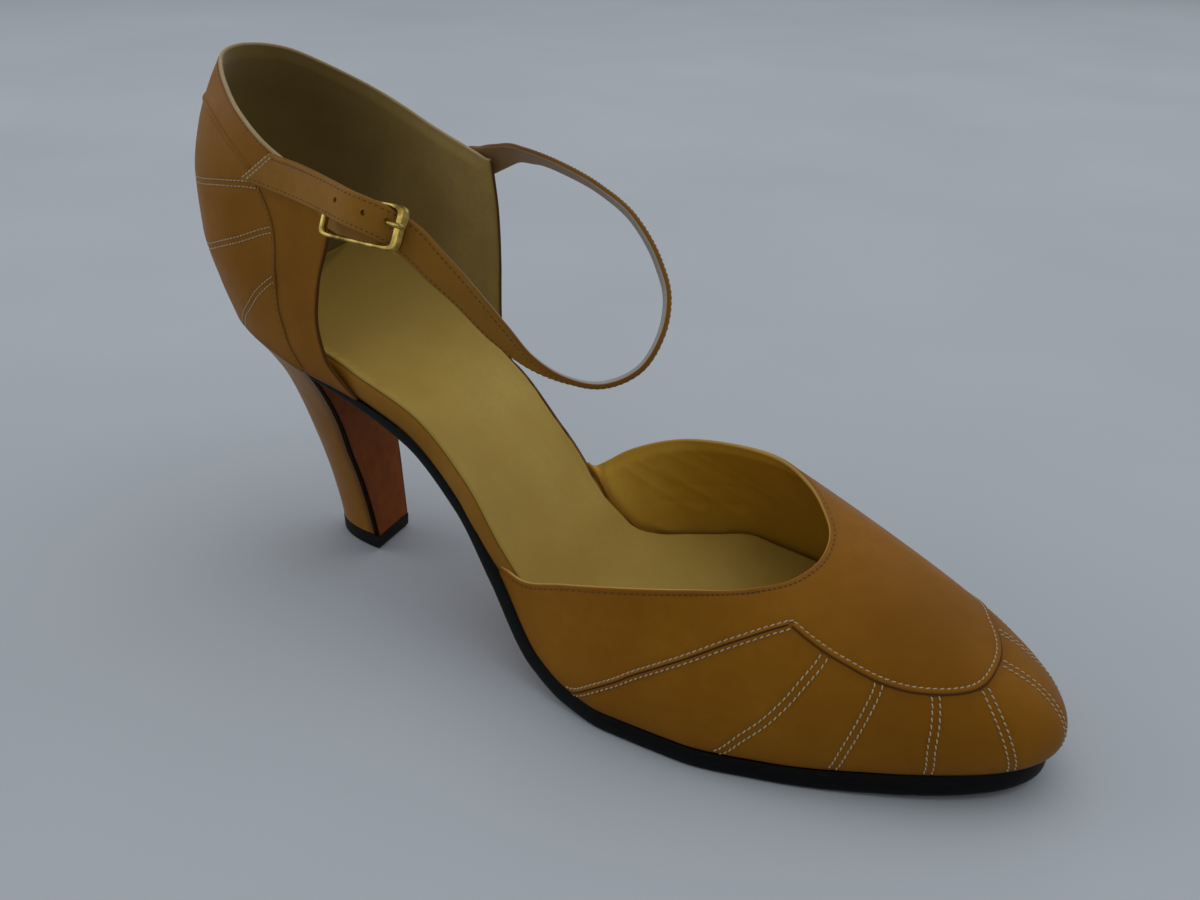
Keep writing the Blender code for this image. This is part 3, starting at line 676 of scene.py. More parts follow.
@dataclass(frozen=True)
class ShoeForm:
    """The last's outline and walls in millimetres, toe to +X, inner side +Y, floor at zero."""

    long: float = 230.0
    seat_back: float = 6.0
    upper_inset: float = 0.8
    back_blend_start: float = 10.0
    back_blend: float = 32.0
    vamp_lateral_start: float = 110.8
    vamp_medial_end: float = 104.6
    tip_share: float = 0.4794
    vamp_bulge: float = 1.6
    toe_bulge: float = 3.6
    toe_reach: float = 0.489
    toe_span: float = 0.16
    vamp_spread: float = 2.6
    end_ease: float = 0.12
    bulge_low: float = 0.7
    normal_step: float = 0.05
    square_on: float = 1.0e3
    outline: Table = Table("x feather_z lateral medial", (
        (6, 62.2, 0, 0), (8.6, 61.9, 9, 9), (14, 61.2, 14.8, 14.6), (20, 60.2, 18.4, 18),
        (30, 58.4, 21.8, 21), (44, 55.4, 23.8, 22.4), (62, 53.2, 25, 21.6), (82, 48.6, 26.5, 18.4),
        (100, 36.3, 28.5, 15.3), (112, 23.2, 31.2, 14.8), (126, 8.8, 35.2, 22.4), (136, 5.3, 37.6, 29.2),
        (146, 4.4, 39, 34), (164, 4.4, 38.6, 37.6), (181, 4.5, 34.3, 35.2), (203, 5.7, 25.3, 26.4),
        (216, 6.5, 18.2, 18.8), (225, 6.9, 11, 11.4), (230, 7.1, 0, 0)))
    quarter_wall: Table = Table("share back_out lateral_out medial_out", (
        (0, 0, 0, 0), (0.15, 3, 1.3, 1.8), (0.35, 5.8, 2.2, 3.2), (0.55, 6.2, 2.4, 4), (0.75, 4.2, 2, 4.2),
        (0.9, 0.6, 1.5, 4), (1, -2.6, 1, 3.8)))
    quarter_topline: Table = Table("x z", (
        (6, 126.3), (12, 124.6), (20, 120.9), (30, 115.7), (45, 108.2), (66, 101.2)))
    quarter_front: Table = Table("share lateral_x medial_x", (
        (0, 65.6, 82), (0.06, 60.6, 76), (0.14, 57, 73), (0.3, 55.8, 71.4), (0.5, 57.4, 70.6),
        (0.75, 61.4, 69.6), (1, 64.2, 68)))
    sole_drop: Table = Table("x drop", (
        (43, 0), (52, 0.2), (70, 0.4), (90, 0.5), (108, 0.4), (126, 0.2), (142, 0), (230, 0)))
    sock_rise: Table = Table("x medial", (
        (6, 2.5), (12, 6), (20, 8.5), (30, 11), (40, 12.4), (47, 12), (57, 9.2), (67, 4.6), (74, 1.4),
        (82, 0), (98, -0.8), (104, -1.3), (110, -2), (118, -2), (124, 0.8), (131, 4), (137, 5.4),
        (143, 6.4), (151, 4.7), (159, 3.1), (172, 1.2), (185, 0), (230, 0)))
    vamp_topline: Table = Table("reach x y z round_power", (
        (0, 111.4, -29.9, 25.4, 0.8), (0.039, 118.4, -31.2, 24.4, 0.8), (0.096, 131, -33.8, 29.1, 0.75),
        (0.168, 147.6, -34.8, 34.5, 0.62), (0.25, 161.4, -31.5, 37.4, 0.52), (0.332, 171, -25, 37.9, 0.46),
        (0.4, 177.6, -16.5, 38.8, 0.43), (0.45, 179.3, -8, 40.6, 0.43), (0.489, 177, 0, 42.2, 0.47),
        (0.529, 170.5, 8.5, 43.8, 0.5), (0.582, 162, 17, 44, 0.54), (0.657, 150.2, 25, 42.9, 0.57),
        (0.76, 128.5, 28.3, 39.6, 0.6), (0.875, 113.6, 23.6, 35, 0.7), (0.965, 107.2, 18.4, 30.7, 0.8),
        (1, 105.2, 16.8, 29, 0.8)))

    def feather(self, x: Array) -> Array:
        """Height of the feather line over the floor."""
        return self.outline.even("feather_z", x)

    def under(self, x: Array) -> Array:
        """Height of the sole's top, which drops a little from the feather line at the waist."""
        return self.feather(x) - self.sole_drop.even("drop", x)

    def half(self, x: Array, side: Side) -> Array:
        """Half width of the sole on one side, from its squares so the ends are round."""
        squares = self.outline.column(side.name.lower()) ** 2
        return np.sqrt(np.maximum(monotone(self.outline.column("x"), squares, x), 0.0))

    def edge(self, x: Array, lateral: Array) -> Array:
        """Signed half width, by a mask of lateral places."""
        return np.where(lateral, -self.half(x, Side.LATERAL), self.half(x, Side.MEDIAL))

    def vamp_feather(self, reach: Array) -> tuple[Array, Array]:
        """Feather line under the vamp by share of its length, from the lateral end round the toe.

        Args:
            reach: Shares from 0 at the lateral end to 1 at the medial end.

        Returns:
            Plan points and plan normals.
        """
        turn = np.linspace(0, 1.0, 400)
        lateral_x = self.long + (self.vamp_lateral_start - self.long) * (1 - turn) ** 2
        medial_x = self.long + (self.vamp_medial_end - self.long) * turn**2
        lateral = np.stack([lateral_x, -self.half(lateral_x, Side.LATERAL)], axis=1)
        medial = np.stack([medial_x, self.half(medial_x, Side.MEDIAL)], axis=1)
        line = np.concatenate([lateral, medial[1:]])
        tangent = unit(np.gradient(line, axis=0))
        normal = np.stack([tangent[:, 1], -tangent[:, 0]], axis=1)
        line = line - normal * self.upper_inset
        length = run_length(line)
        tip = length[len(turn) - 1]
        share = np.interp(length, (0.0, tip, length[-1]), (0.0, self.tip_share, 1.0))
        return straight(share, line, reach), straight(share, normal, reach)

    def vamp(self, reach: Array, rise: Array) -> Array:
        """Vamp: rays from the feather line to the throat, inward as a power of the rise, with a bulge.

        Args:
            reach: Share of the feather line.
            rise: Share of the way up to the throat.

        Returns:
            Points of the outer face.
        """
        reach, rise = np.broadcast_arrays(np.asarray(reach, dtype=float), np.asarray(rise, dtype=float))
        spot, out = self.vamp_feather(reach)
        low = self.under(spot[..., 0]) + SEAT_GAP
        top = np.stack([self.vamp_topline.flow(axis, reach) for axis in "xyz"], axis=-1)
        power = self.vamp_topline.flow("round_power", reach)
        toe = bell(reach - self.toe_reach, self.toe_span)
        ends = np.clip(np.minimum(reach, 1 - reach) / self.end_ease, 0, 1)
        full = (self.vamp_bulge + (self.toe_bulge - self.vamp_bulge) * toe) * ends
        inward = rise**self.vamp_spread
        bulge = full * np.sin(math.pi * rise**self.bulge_low)
        plan = spot + (top[..., :2] - spot) * inward[..., None] + out * bulge[..., None]
        z = low + (top[..., 2] - low) * inward**power
        return np.concatenate([plan, z[..., None]], axis=-1)

    def seat_normal(self, x: Array, lateral: Array) -> Array:
        """Outward plan normal of the seat outline."""
        low = np.maximum(x - self.normal_step, self.seat_back)
        high = x + self.normal_step
        slope = np.abs(self.edge(high, lateral)) - np.abs(self.edge(low, lateral))
        at_back = x < self.seat_back + self.normal_step / 2
        slope = np.where(at_back, self.square_on, slope / (high - low))
        return unit(np.stack([-slope, np.where(lateral, -1.0, 1.0)], axis=-1))

    def quarter(self, along: Array, share: Array) -> Array:
        """Quarter: a wall round the seat outline, moved out by its wall table and up to the topline.

        Args:
            along: From -1 at the lateral front edge, through 0 at the back, to 1 at the medial front edge.
            share: Share of the height.

        Returns:
            Points of the outer face.
        """
        along, share = np.broadcast_arrays(np.asarray(along, dtype=float), np.asarray(share, dtype=float))
        lateral = along < 0
        ends, wall = self.quarter_front, self.quarter_wall
        front = np.where(lateral, ends.even("lateral_x", share), ends.even("medial_x", share))
        x = self.seat_back + (front - self.seat_back) * along**2
        normal = self.seat_normal(x, lateral)
        side = np.where(lateral, wall.even("lateral_out", share), wall.even("medial_out", share))
        blend = ease((x - self.back_blend_start) / self.back_blend)
        out = wall.even("back_out", share) * (1 - blend) + side * blend
        low = self.under(x) + SEAT_GAP
        z = low + (self.quarter_topline.even("z", x) - low) * share
        y = self.edge(x, lateral) + normal[..., 1] * out
        return np.stack([x + normal[..., 0] * out, y, z], axis=-1)


@dataclass(frozen=True)
class Sheet:
    """A surface of two parameters, u along and v up, with its outward normal."""

    shape: Callable[[Array, Array], Array]
    low: float
    high: float
    turn: float
    step: float = 1.0e-3
    least_rest: float = 0.3

    def slopes(self, u: Array, v: Array) -> tuple[Array, Array]:
        """Surface moves per unit of u and of v, by central differences, one-sided at the borders."""
        u0, u1 = (np.clip(u + step, self.low, self.high) for step in (-self.step, self.step))
        v0, v1 = (np.clip(v + step, 0, 1) for step in (-self.step, self.step))
        along = (self.shape(u1, v) - self.shape(u0, v)) / (u1 - u0)[..., None]
        up = (self.shape(u, v1) - self.shape(u, v0)) / (v1 - v0)[..., None]
        return along, up

    def normal(self, u: Array, v: Array) -> Array:
        """Outward unit normal."""
        along, up = self.slopes(u, v)
        return unit(np.cross(along, up)) * self.turn

    def lifted(self, u: Array, v: Array, height: Array | float) -> Array:
        """Points at a height over the sheet."""
        return self.shape(u, v) + self.normal(u, v) * np.broadcast_to(height, u.shape)[..., None]

    def shifted(self, u: Array, v: Array, side: float) -> tuple[Array, Array]:
        """Move a line sideways on the sheet by a real distance.

        The step in u and v is solved so that its surface move is square to the line.

        Args:
            u: Places of the line along the sheet.
            v: Places of the line up the sheet.
            side: Distance in millimetres, to the left of the line seen from outside.

        Returns:
            The moved u and v.
        """
        along, up = self.slopes(u, v)
        ahead = along * np.gradient(u)[..., None] + up * np.gradient(v)[..., None]
        square = unit(np.cross(unit(np.cross(along, up)) * self.turn, unit(ahead))) * side
        aa, ab, bb = (np.sum(p * q, axis=-1) for p, q in ((along, along), (along, up), (up, up)))
        pa, pb = np.sum(square * along, axis=-1), np.sum(square * up, axis=-1)
        size = aa * bb - ab * ab
        moved_u = np.clip(u + (bb * pa - ab * pb) / size, self.low, self.high)
        return moved_u, np.clip(v + (aa * pb - ab * pa) / size, 0, 1)

    def rows_by_length(self, u: Array, drops: Array, shares: Array) -> Array:
        """Heights v on each column that keep real spacing.

        Args:
            u: Column places.
            drops: Real distances below the top border for the rows near it, falling to zero.
            shares: Shares of the rest of the column for the rows under those.

        Returns:
            A grid of v, rows by columns.
        """
        fine = np.linspace(0, 1.0, 220)
        length = run_length(self.shape(u[None, :], fine[:, None]))
        rest = np.maximum(length[-1] - drops[0], length[-1] * self.least_rest)
        near = length[-1] - drops[:, None] * (length[-1] - rest) / drops[0]
        wanted = np.concatenate([shares[:, None] * rest, near])
        cell = np.clip(np.sum(length[None] <= wanted[:, None], axis=1) - 1, 0, len(fine) - 2)
        columns = np.broadcast_to(np.arange(len(u)), cell.shape)
        start, end = length[cell, columns], length[cell + 1, columns]
        part = np.clip((wanted - start) / np.maximum(end - start, 1.0e-9), 0, 1)
        return fine[cell] + part * (fine[1] - fine[0])

    def below_top(self, u: Array, drop: float) -> Array:
        """Heights v at a real distance below the top border."""
        return self.rows_by_length(u, np.array([drop, 0.0]), np.array([0.0]))[1]


@dataclass(frozen=True)
class Line:
    """A seam or stitch line on a sheet, through given knots of u and v."""

    sheet: Sheet
    knots: Knots

    def even(self, pitch: float) -> tuple[Array, Array]:
        """Places along the line, evenly spaced in real length.

        Args:
            pitch: Wanted spacing in millimetres.

        Returns:
            Arrays of u and v.
        """
        knots = np.array(self.knots, dtype=float)
        keys = run_length(self.sheet.shape(knots[:, 0], knots[:, 1]))
        fine = np.linspace(0, keys[-1], 300)
        u, v = flowing(keys, knots, fine).T
        u, v = np.clip(u, self.sheet.low, self.sheet.high), np.clip(v, 0, 1)
        length = run_length(self.sheet.shape(u, v))
        at = np.linspace(0, length[-1], max(int(round(length[-1] / pitch)) + 1, 4))
        return np.interp(at, length, u), np.interp(at, length, v)


def nearness(points: Array, line: Array, width: float) -> Array:
    """Bell of each point's distance to a line of points, 1 on the line.

    Args:
        points: Points of a mesh patch.
        line: Points of the line, closer together than the width.
        width: Width of the bell in millimetres.

    Returns:
        Values from 0 to 1 in the patch's shape.
    """
    flat = points.reshape(-1, 3).astype(np.float32)
    best = np.full(len(flat), 1.0e9, dtype=np.float32)
    for spot in line.astype(np.float32):
        away = flat - spot
        best = np.minimum(best, np.einsum("ij,ij->i", away, away))
    return np.exp(-best / width**2).reshape(points.shape[:-1])


@dataclass(frozen=True)
class Crease:
    """A soft trough or ridge across a sheet, from one place to another."""

    start: Pair
    end: Pair
    height: float
    width: float

    def bend(self, sheet: Sheet, points: Array) -> Array:
        """Height that the crease adds at each point, a bell across its line."""
        share = np.linspace(0, 1.0, 24)
        u = self.start[0] + (self.end[0] - self.start[0]) * share
        v = self.start[1] + (self.end[1] - self.start[1]) * share
        return self.height * nearness(points, sheet.shape(u, v), self.width)


class Zone(Enum):
    """Face groups of a wall."""

    OUTER = 0
    RIM = 1
    INNER = 2


@dataclass(frozen=True)
class Wall:
    """A leather wall of real thickness on a sheet, rounded at its top and ends."""

    sheet: Sheet
    thick: float
    rim_outer: float
    rim_inner: float
    edge_thick: float = 0.55
    skive: float = 4.0
    end_width: float = 0.3
    end_ink: float = 0.0
    ink_width: float = 0.55
    foot: float = 0.0

    def grid(self, columns: int, rows: int, end_share: float) -> tuple[Array, Array]:
        """Grid of u and v with closer columns at the ends and closer rows at the top.

        Args:
            columns: Even columns.
            rows: Even rows.
            end_share: Width in u of the rounded ends.

        Returns:
            Grids of u and v, rows by columns.
        """
        turn = 1 - np.cos(np.linspace(0, math.pi / 2, 6))[:-1]
        low, high = self.sheet.low, self.sheet.high
        middle = np.linspace(low + end_share, high - end_share, columns)
        u = np.concatenate([low + end_share * turn, middle, high - end_share * turn[::-1]])
        half = self.thick / 2
        drops = np.concatenate([np.linspace(self.skive, half, 10)[:-1], half * turn[::-1]])
        v = self.sheet.rows_by_length(u, drops, np.linspace(0, 1.0, rows)[:-1])
        v[0] = 0.0
        v[-1] = 1.0
        return np.broadcast_to(u[None, :], v.shape), v

    def parts(self, u: Array, v: Array, outer_bend: Callable[[Array, Array], Array],
              inner_bend: Callable[[Array], Array], tone: Callable[[Array, Array], Array],
              inner_tone: Callable[[Array], Array] | None = None) -> MeshParts:
        """Mesh patches of the wall.

        Both faces start from the wall's middle and part by a quarter circle over half the thickness at
        the top and the ends, so the border is round and closed; the bends then raise or sink each face.

        Args:
            u: Grid of places along.
            v: Grid of places up.
            outer_bend: Height of the outer face from its points and their distance below the top.
            inner_bend: Height of the inner face from its points.
            tone: Darkening of the outer face from its points and their distance below the top.
            inner_tone: Darkening of the inner face from its points, none if left out.

        Returns:
            The gathered patches.
        """
        points, normal = self.sheet.shape(u, v), self.sheet.normal(u, np.maximum(v, self.foot))
        rows, columns = u.shape
        below = run_length(points[::-1])[::-1]
        from_start = run_length(points, axis=1)
        from_end = np.minimum(from_start, from_start[:, -1:] - from_start)
        border = np.minimum(below, from_end)
        half = self.thick / 2 * (self.edge_thick + (1 - self.edge_thick) * ease(border / self.skive))
        part = quarter_round(border / half)
        part[:, 0] = part[:, -1] = part[-1] = 0.0
        middle = points - normal * half[..., None]
        outer = middle + normal * (part * (half + outer_bend(points, below)))[..., None]
        inner = middle - normal * (part * (half + inner_bend(points)))[..., None]
        flip = self.sheet.turn < 0
        count = rows * columns
        edge = np.arange(columns - 1)
        under = np.stack([edge + 1, edge, edge + count, edge + count + 1], axis=1)
        face_below, face_end = below[:-1, :-1].reshape(-1), from_end[:-1, :-1].reshape(-1)
        at_end = face_end < np.minimum(face_below, self.end_width)
        outer_zone = np.where(face_below < self.rim_outer, Zone.RIM.value, Zone.OUTER.value)
        inner_zone = np.where(face_below < self.rim_inner, Zone.RIM.value, Zone.INNER.value)
        inner_zone = np.where(at_end, Zone.OUTER.value, inner_zone)
        inked = self.end_ink * bell(from_end, self.ink_width)
        inner_dark = inked if inner_tone is None else np.maximum(inner_tone(inner), inked)
        parts = MeshParts()
        parts.add(np.stack([outer, inner]),
                  (grid_quads(rows, columns, 0, flip), grid_quads(rows, columns, count, not flip),
                   under[:, ::-1] if flip else under),
                  (outer_zone, inner_zone, np.full(columns - 1, Zone.INNER.value)),
                  np.stack([np.maximum(tone(points, below), inked), inner_dark]))
        return parts


# Stitches and seam edges

@dataclass(frozen=True)
class Stitch:
    """One stitch: a short bowed capsule whose ends dive into the leather."""

    pitch: float = 1.4
    length: float = 1.1
    radius: float = 0.17
    lift: float = 0.09
    sink: float = 0.18
    lean: float = 10.0
    sides: int = 6
    ring_shares: tuple[float, ...] = (-0.5, -0.36, 0.0, 0.36, 0.5)
    ring_sizes: tuple[float, ...] = (0.5, 0.95, 1.0, 0.95, 0.5)

    def sew(self, parts: MeshParts, spots: Array, ahead: Array, up: Array) -> None:
        """Add a stitch at each spot, all from one template of five rings.

        Args:
            parts: Patches to add to.
            spots: Stitch middles on the leather.
            ahead: Unit directions along the row.
            up: Unit normals of the leather.
        """
        ring_at = np.array(self.ring_shares) * self.length
        ring_high = np.array((-self.sink, 0.0, self.lift, 0.0, -self.sink))
        ring_size = np.array(self.ring_sizes) * self.radius
        turn = circle(self.sides)
        slant = math.radians(self.lean)
        ahead = ahead * math.cos(slant) + np.cross(up, ahead) * math.sin(slant)
        across = np.cross(up, ahead)
        line = spots[:, None] + ahead[:, None] * ring_at[:, None] + up[:, None] * ring_high[:, None]
        around = up[:, None] * np.cos(turn)[:, None] + across[:, None] * np.sin(turn)[:, None]
        points = line[:, :, None] + around[:, None] * ring_size[:, None, None]
        start = (np.arange(len(spots)) * len(ring_at) * self.sides)[:, None, None]
        faces = [(group[None] + start).reshape(-1, group.shape[1])
                 for group in tube_faces(len(ring_at), self.sides, flip=True)]
        parts.add(points, faces)

    def through(self, parts: MeshParts, points: Array, normals: Array) -> None:
        """Sew one stitch between each pair of points, square to the normals there."""
        ahead = unit(np.diff(points, axis=0))
        up = unit(normals - ahead * np.sum(normals * ahead, axis=1)[:, None])
        self.sew(parts, (points[1:] + points[:-1]) / 2, ahead, up)

    def row(self, parts: MeshParts, sheet: Sheet, u: Array, v: Array, height: float) -> None:
        """Sew a row along a line of a sheet."""
        normals = sheet.normal((u[1:] + u[:-1]) / 2, (v[1:] + v[:-1]) / 2)
        self.through(parts, sheet.lifted(u, v, height), normals)


@dataclass(frozen=True)
class SeamEdge:
    """A seam's raised edge: a closed profile of side, height and tone carried along a line of a sheet."""

    profile: Table
    sunk: float = 0.35
    pitch: float = 0.6

    def sweep(self, parts: MeshParts, line: Line, start: float = 1.6, end: float = 1.6) -> None:
        """Add the seam edge along a line.

        Args:
            parts: Patches to add to.
            line: Line that it follows.
            start: Length over which its first end sinks into the leather.
            end: Length over which its last end sinks.
        """
        u, v = line.even(self.pitch)
        run = np.arange(len(u)) * self.pitch
        grown = np.minimum(ease(run / start), ease(run[::-1] / end))
        sheet = line.sheet
        rings = [sheet.lifted(*sheet.shifted(u, v, side), grown * (high + self.sunk) - self.sunk)
                 for side, high, _ in self.profile.rows]
        parts.add(np.stack(rings, axis=1), tube_faces(len(u), len(rings)), tone=self.profile.column("tone"))


# The tone column paints the dark line where the panels meet: painted shadow under the overlapping edge of
# the apron, the facing and the collar, and painted shade in the gap between the two raised edges of each
# wing seam.
APRON_EDGE = SeamEdge(Table("side height tone", (
    (1.5, -0.2, 0.1), (1.15, 0.02, 0.06), (0.9, 0.14, 0), (0.66, 0.26, 0), (0.42, 0.3, 0),
    (0.2, 0.25, 0.06), (0.06, 0.14, 0.6), (-0.08, 0.08, 0.95), (-0.26, 0.06, 0.7), (-0.5, -0.08, 0.2),
    (-0.4, -0.6, 0), (1.2, -0.6, 0))))
WING_EDGE = SeamEdge(Table("side height tone", (
    (1.05, -0.2, 0.15), (0.8, 0.02, 0.08), (0.55, 0.19, 0), (0.34, 0.23, 0.06), (0.19, 0.17, 0.6),
    (0.08, 0.1, 0.98), (-0.08, 0.1, 0.98), (-0.18, 0.14, 0.6), (-0.33, 0.19, 0.06), (-0.55, 0.16, 0),
    (-0.8, 0.02, 0.08), (-1.05, -0.2, 0.15), (-0.6, -0.6, 0), (0.6, -0.6, 0))))
FACING_EDGE = SeamEdge(Table("side height tone", (
    (1.25, -0.2, 0.15), (0.95, 0, 0.08), (0.7, 0.15, 0), (0.36, 0.24, 0), (0.12, 0.16, 0.25),
    (0, 0.07, 0.7), (-0.16, 0.05, 0.5), (-0.42, -0.1, 0.15), (-0.3, -0.6, 0), (0.9, -0.6, 0))))
COLLAR_EDGE = SeamEdge(Table("side height tone", (
    (1.5, -0.2, 0.06), (1.1, 0.04, 0.04), (0.7, 0.26, 0), (0.34, 0.34, 0), (0.08, 0.24, 0.08),
    (-0.04, 0.08, 0.4), (-0.2, 0.05, 0.3), (-0.4, -0.1, 0.1), (-0.3, -0.6, 0), (0.9, -0.6, 0))))


# Upper

@dataclass(frozen=True)
class Upper(ABC):
    """What vamp and quarter share: a wall with sunk double stitch rows, creases, seam edges, dirt and
    painted shade.
    """

    form: ShoeForm
    finishes: Finishes
    node: str = ""
    edge_stitching: str = ""
    mirrored: bool = False
    thick: float = 1.8
    rims: Pair = (0.25, 0.3)
    foot: float = 0.0
    end_ink: float = 0.0
    grid: tuple[int, int, float] = (400, 78, 0.003)
    trace_pitch: float = 0.6
    row_gap: float = 0.76
    row_width: float = 0.6
    row_sink: float = 0.14
    row_dark: float = 0.1
    row_height: float = -0.06
    # Dirt and painted shade beside the seams.
    seam_dirt_and_shade: float = 0.2
    seam_dirt_and_shade_width: float = 1.4
    sole_dirt: float = 0.35
    sole_dirt_high: float = 1.4
    bead: float = 0.1
    bead_drop: float = 0.6
    bead_width: float = 0.45
    topline_drop: float = 1.2
    topline_width: float = 0.4
    topline_sink: float = 0.1
    topline_dark: float = 0.14
    topline_height: float = -0.1
    topline_ends: Pair = (0.02, 0.985)
    topline_places: int = 135
    stitch: Stitch = Stitch()
    edge_stitch: Stitch = Stitch()
    double_rows: tuple[Knots, ...] = ()
    seam_rows: tuple[Knots, ...] = ()
    lining_creases: tuple[Crease, ...] = ()
    flex_creases: tuple[Crease, ...] = ()

    @abstractmethod
    def sheet(self) -> Sheet:
        """The outer face as a sheet."""

    @abstractmethod
    def materials(self) -> tuple[Material, ...]:
        """Finishes of the outer face, the rim and the lining."""

    @abstractmethod
    def inner_tone(self, points: Array) -> Array:
        """How dark the lining is at each point."""

    @abstractmethod
    def build_seams(self) -> Item:
        """Raised seam edges."""

    @abstractmethod
    def sew_seams(self, pale: MeshParts, brown: MeshParts) -> None:
        """Add the cream and tan stitches beside the seams."""

    def lines(self, *rows: Knots) -> list[Line]:
        """Lines on the outer face; a mirrored part gives each line and its twin."""
        signs = (1.0, -1.0) if self.mirrored else (1.0,)
        turned = [tuple((sign * u, v) for u, v in knots) for knots in rows for sign in signs]
        return [Line(self.sheet(), knots) for knots in turned]

    def row_pairs(self, pitch: float) -> list[tuple[Array, Array]]:
        """Both rows of every double row, as evenly spaced places."""
        sheet = self.sheet()
        return [sheet.shifted(*line.even(pitch), side) for line in self.lines(*self.double_rows)
                for side in (-self.row_gap, self.row_gap)]

    def near_rows(self, points: Array) -> Array:
        """How near each point is to the double rows, summed over the rows."""
        rows = [self.sheet().shape(u, v) for u, v in self.row_pairs(self.trace_pitch)]
        return sum(nearness(points, row, self.row_width) for row in rows)

    def near_topline(self, below: Array) -> Array:
        """How near each point is to the topline's stitch row, from its distance below the top."""
        return bell(below - self.topline_drop, self.topline_width)

    def outer_bend(self, points: Array, below: Array) -> Array:
        """Bead at the topline, a trough for each stitch row and the flex creases."""
        bead = self.bead * bell(below - self.bead_drop, self.bead_width)
        sunk = self.row_sink * self.near_rows(points) + self.topline_sink * self.near_topline(below)
        return bead - sunk + sum(crease.bend(self.sheet(), points) for crease in self.flex_creases)

    def inner_bend(self, points: Array) -> Array:
        """Wrinkles of the lining."""
        return sum(crease.bend(self.sheet(), points) for crease in self.lining_creases)

    def tone(self, points: Array, below: Array) -> Array:
        """Darkening: dirt just over the sole, dirt and painted shade beside the seams, and a darker line in
        the stitch rows.
        """
        seams = [line.sheet.shape(*line.even(self.trace_pitch)) for line in self.lines(*self.seam_rows)]
        # Beside the seams the darkening is dirt and painted shade; in the stitch rows it is a darker line.
        beside = self.seam_dirt_and_shade * nearness(points, np.concatenate(seams), self.seam_dirt_and_shade_width)
        low = np.exp(-(points[..., 2] - self.form.feather(points[..., 0])) / self.sole_dirt_high)
        rows = self.row_dark * self.near_rows(points) + self.topline_dark * self.near_topline(below)
        return np.clip(self.sole_dirt * low + beside + rows, 0, 1)

    def build_wall(self) -> Item:
        """Leather and lining as one closed wall."""
        wall = Wall(self.sheet(), self.thick, *self.rims, end_ink=self.end_ink, foot=self.foot)
        parts = wall.parts(*wall.grid(*self.grid), self.outer_bend, self.inner_bend, self.tone,
                           self.inner_tone)
        return parts.build(f"{self.node}_upper", self.materials(), weld=True)

    def build_stitches(self) -> tuple[Item, Item]:
        """Cream double rows, the tan topline row and the stitches beside the seams."""
        sheet, pale, brown = self.sheet(), MeshParts(), MeshParts()
        for u, v in self.row_pairs(self.stitch.pitch):
            self.stitch.row(pale, sheet, u, v, self.row_height)
        along = np.linspace(*self.topline_ends, self.topline_places)
        drop = sheet.below_top(along, self.topline_drop)
        self.edge_stitch.row(brown, sheet, along, drop, self.topline_height)
        self.sew_seams(pale, brown)
        return (pale.build(f"{self.node}_stitching", (self.finishes.cream_thread,)),
                brown.build(self.edge_stitching, (self.finishes.tan_thread,)))

    def build(self) -> None:
        """Build and dress the part."""
        place(self.build_wall(), Slot.UPPER, self.node)
        for item in (self.build_seams(), *self.build_stitches()):
            place(item, Slot.UPPER)


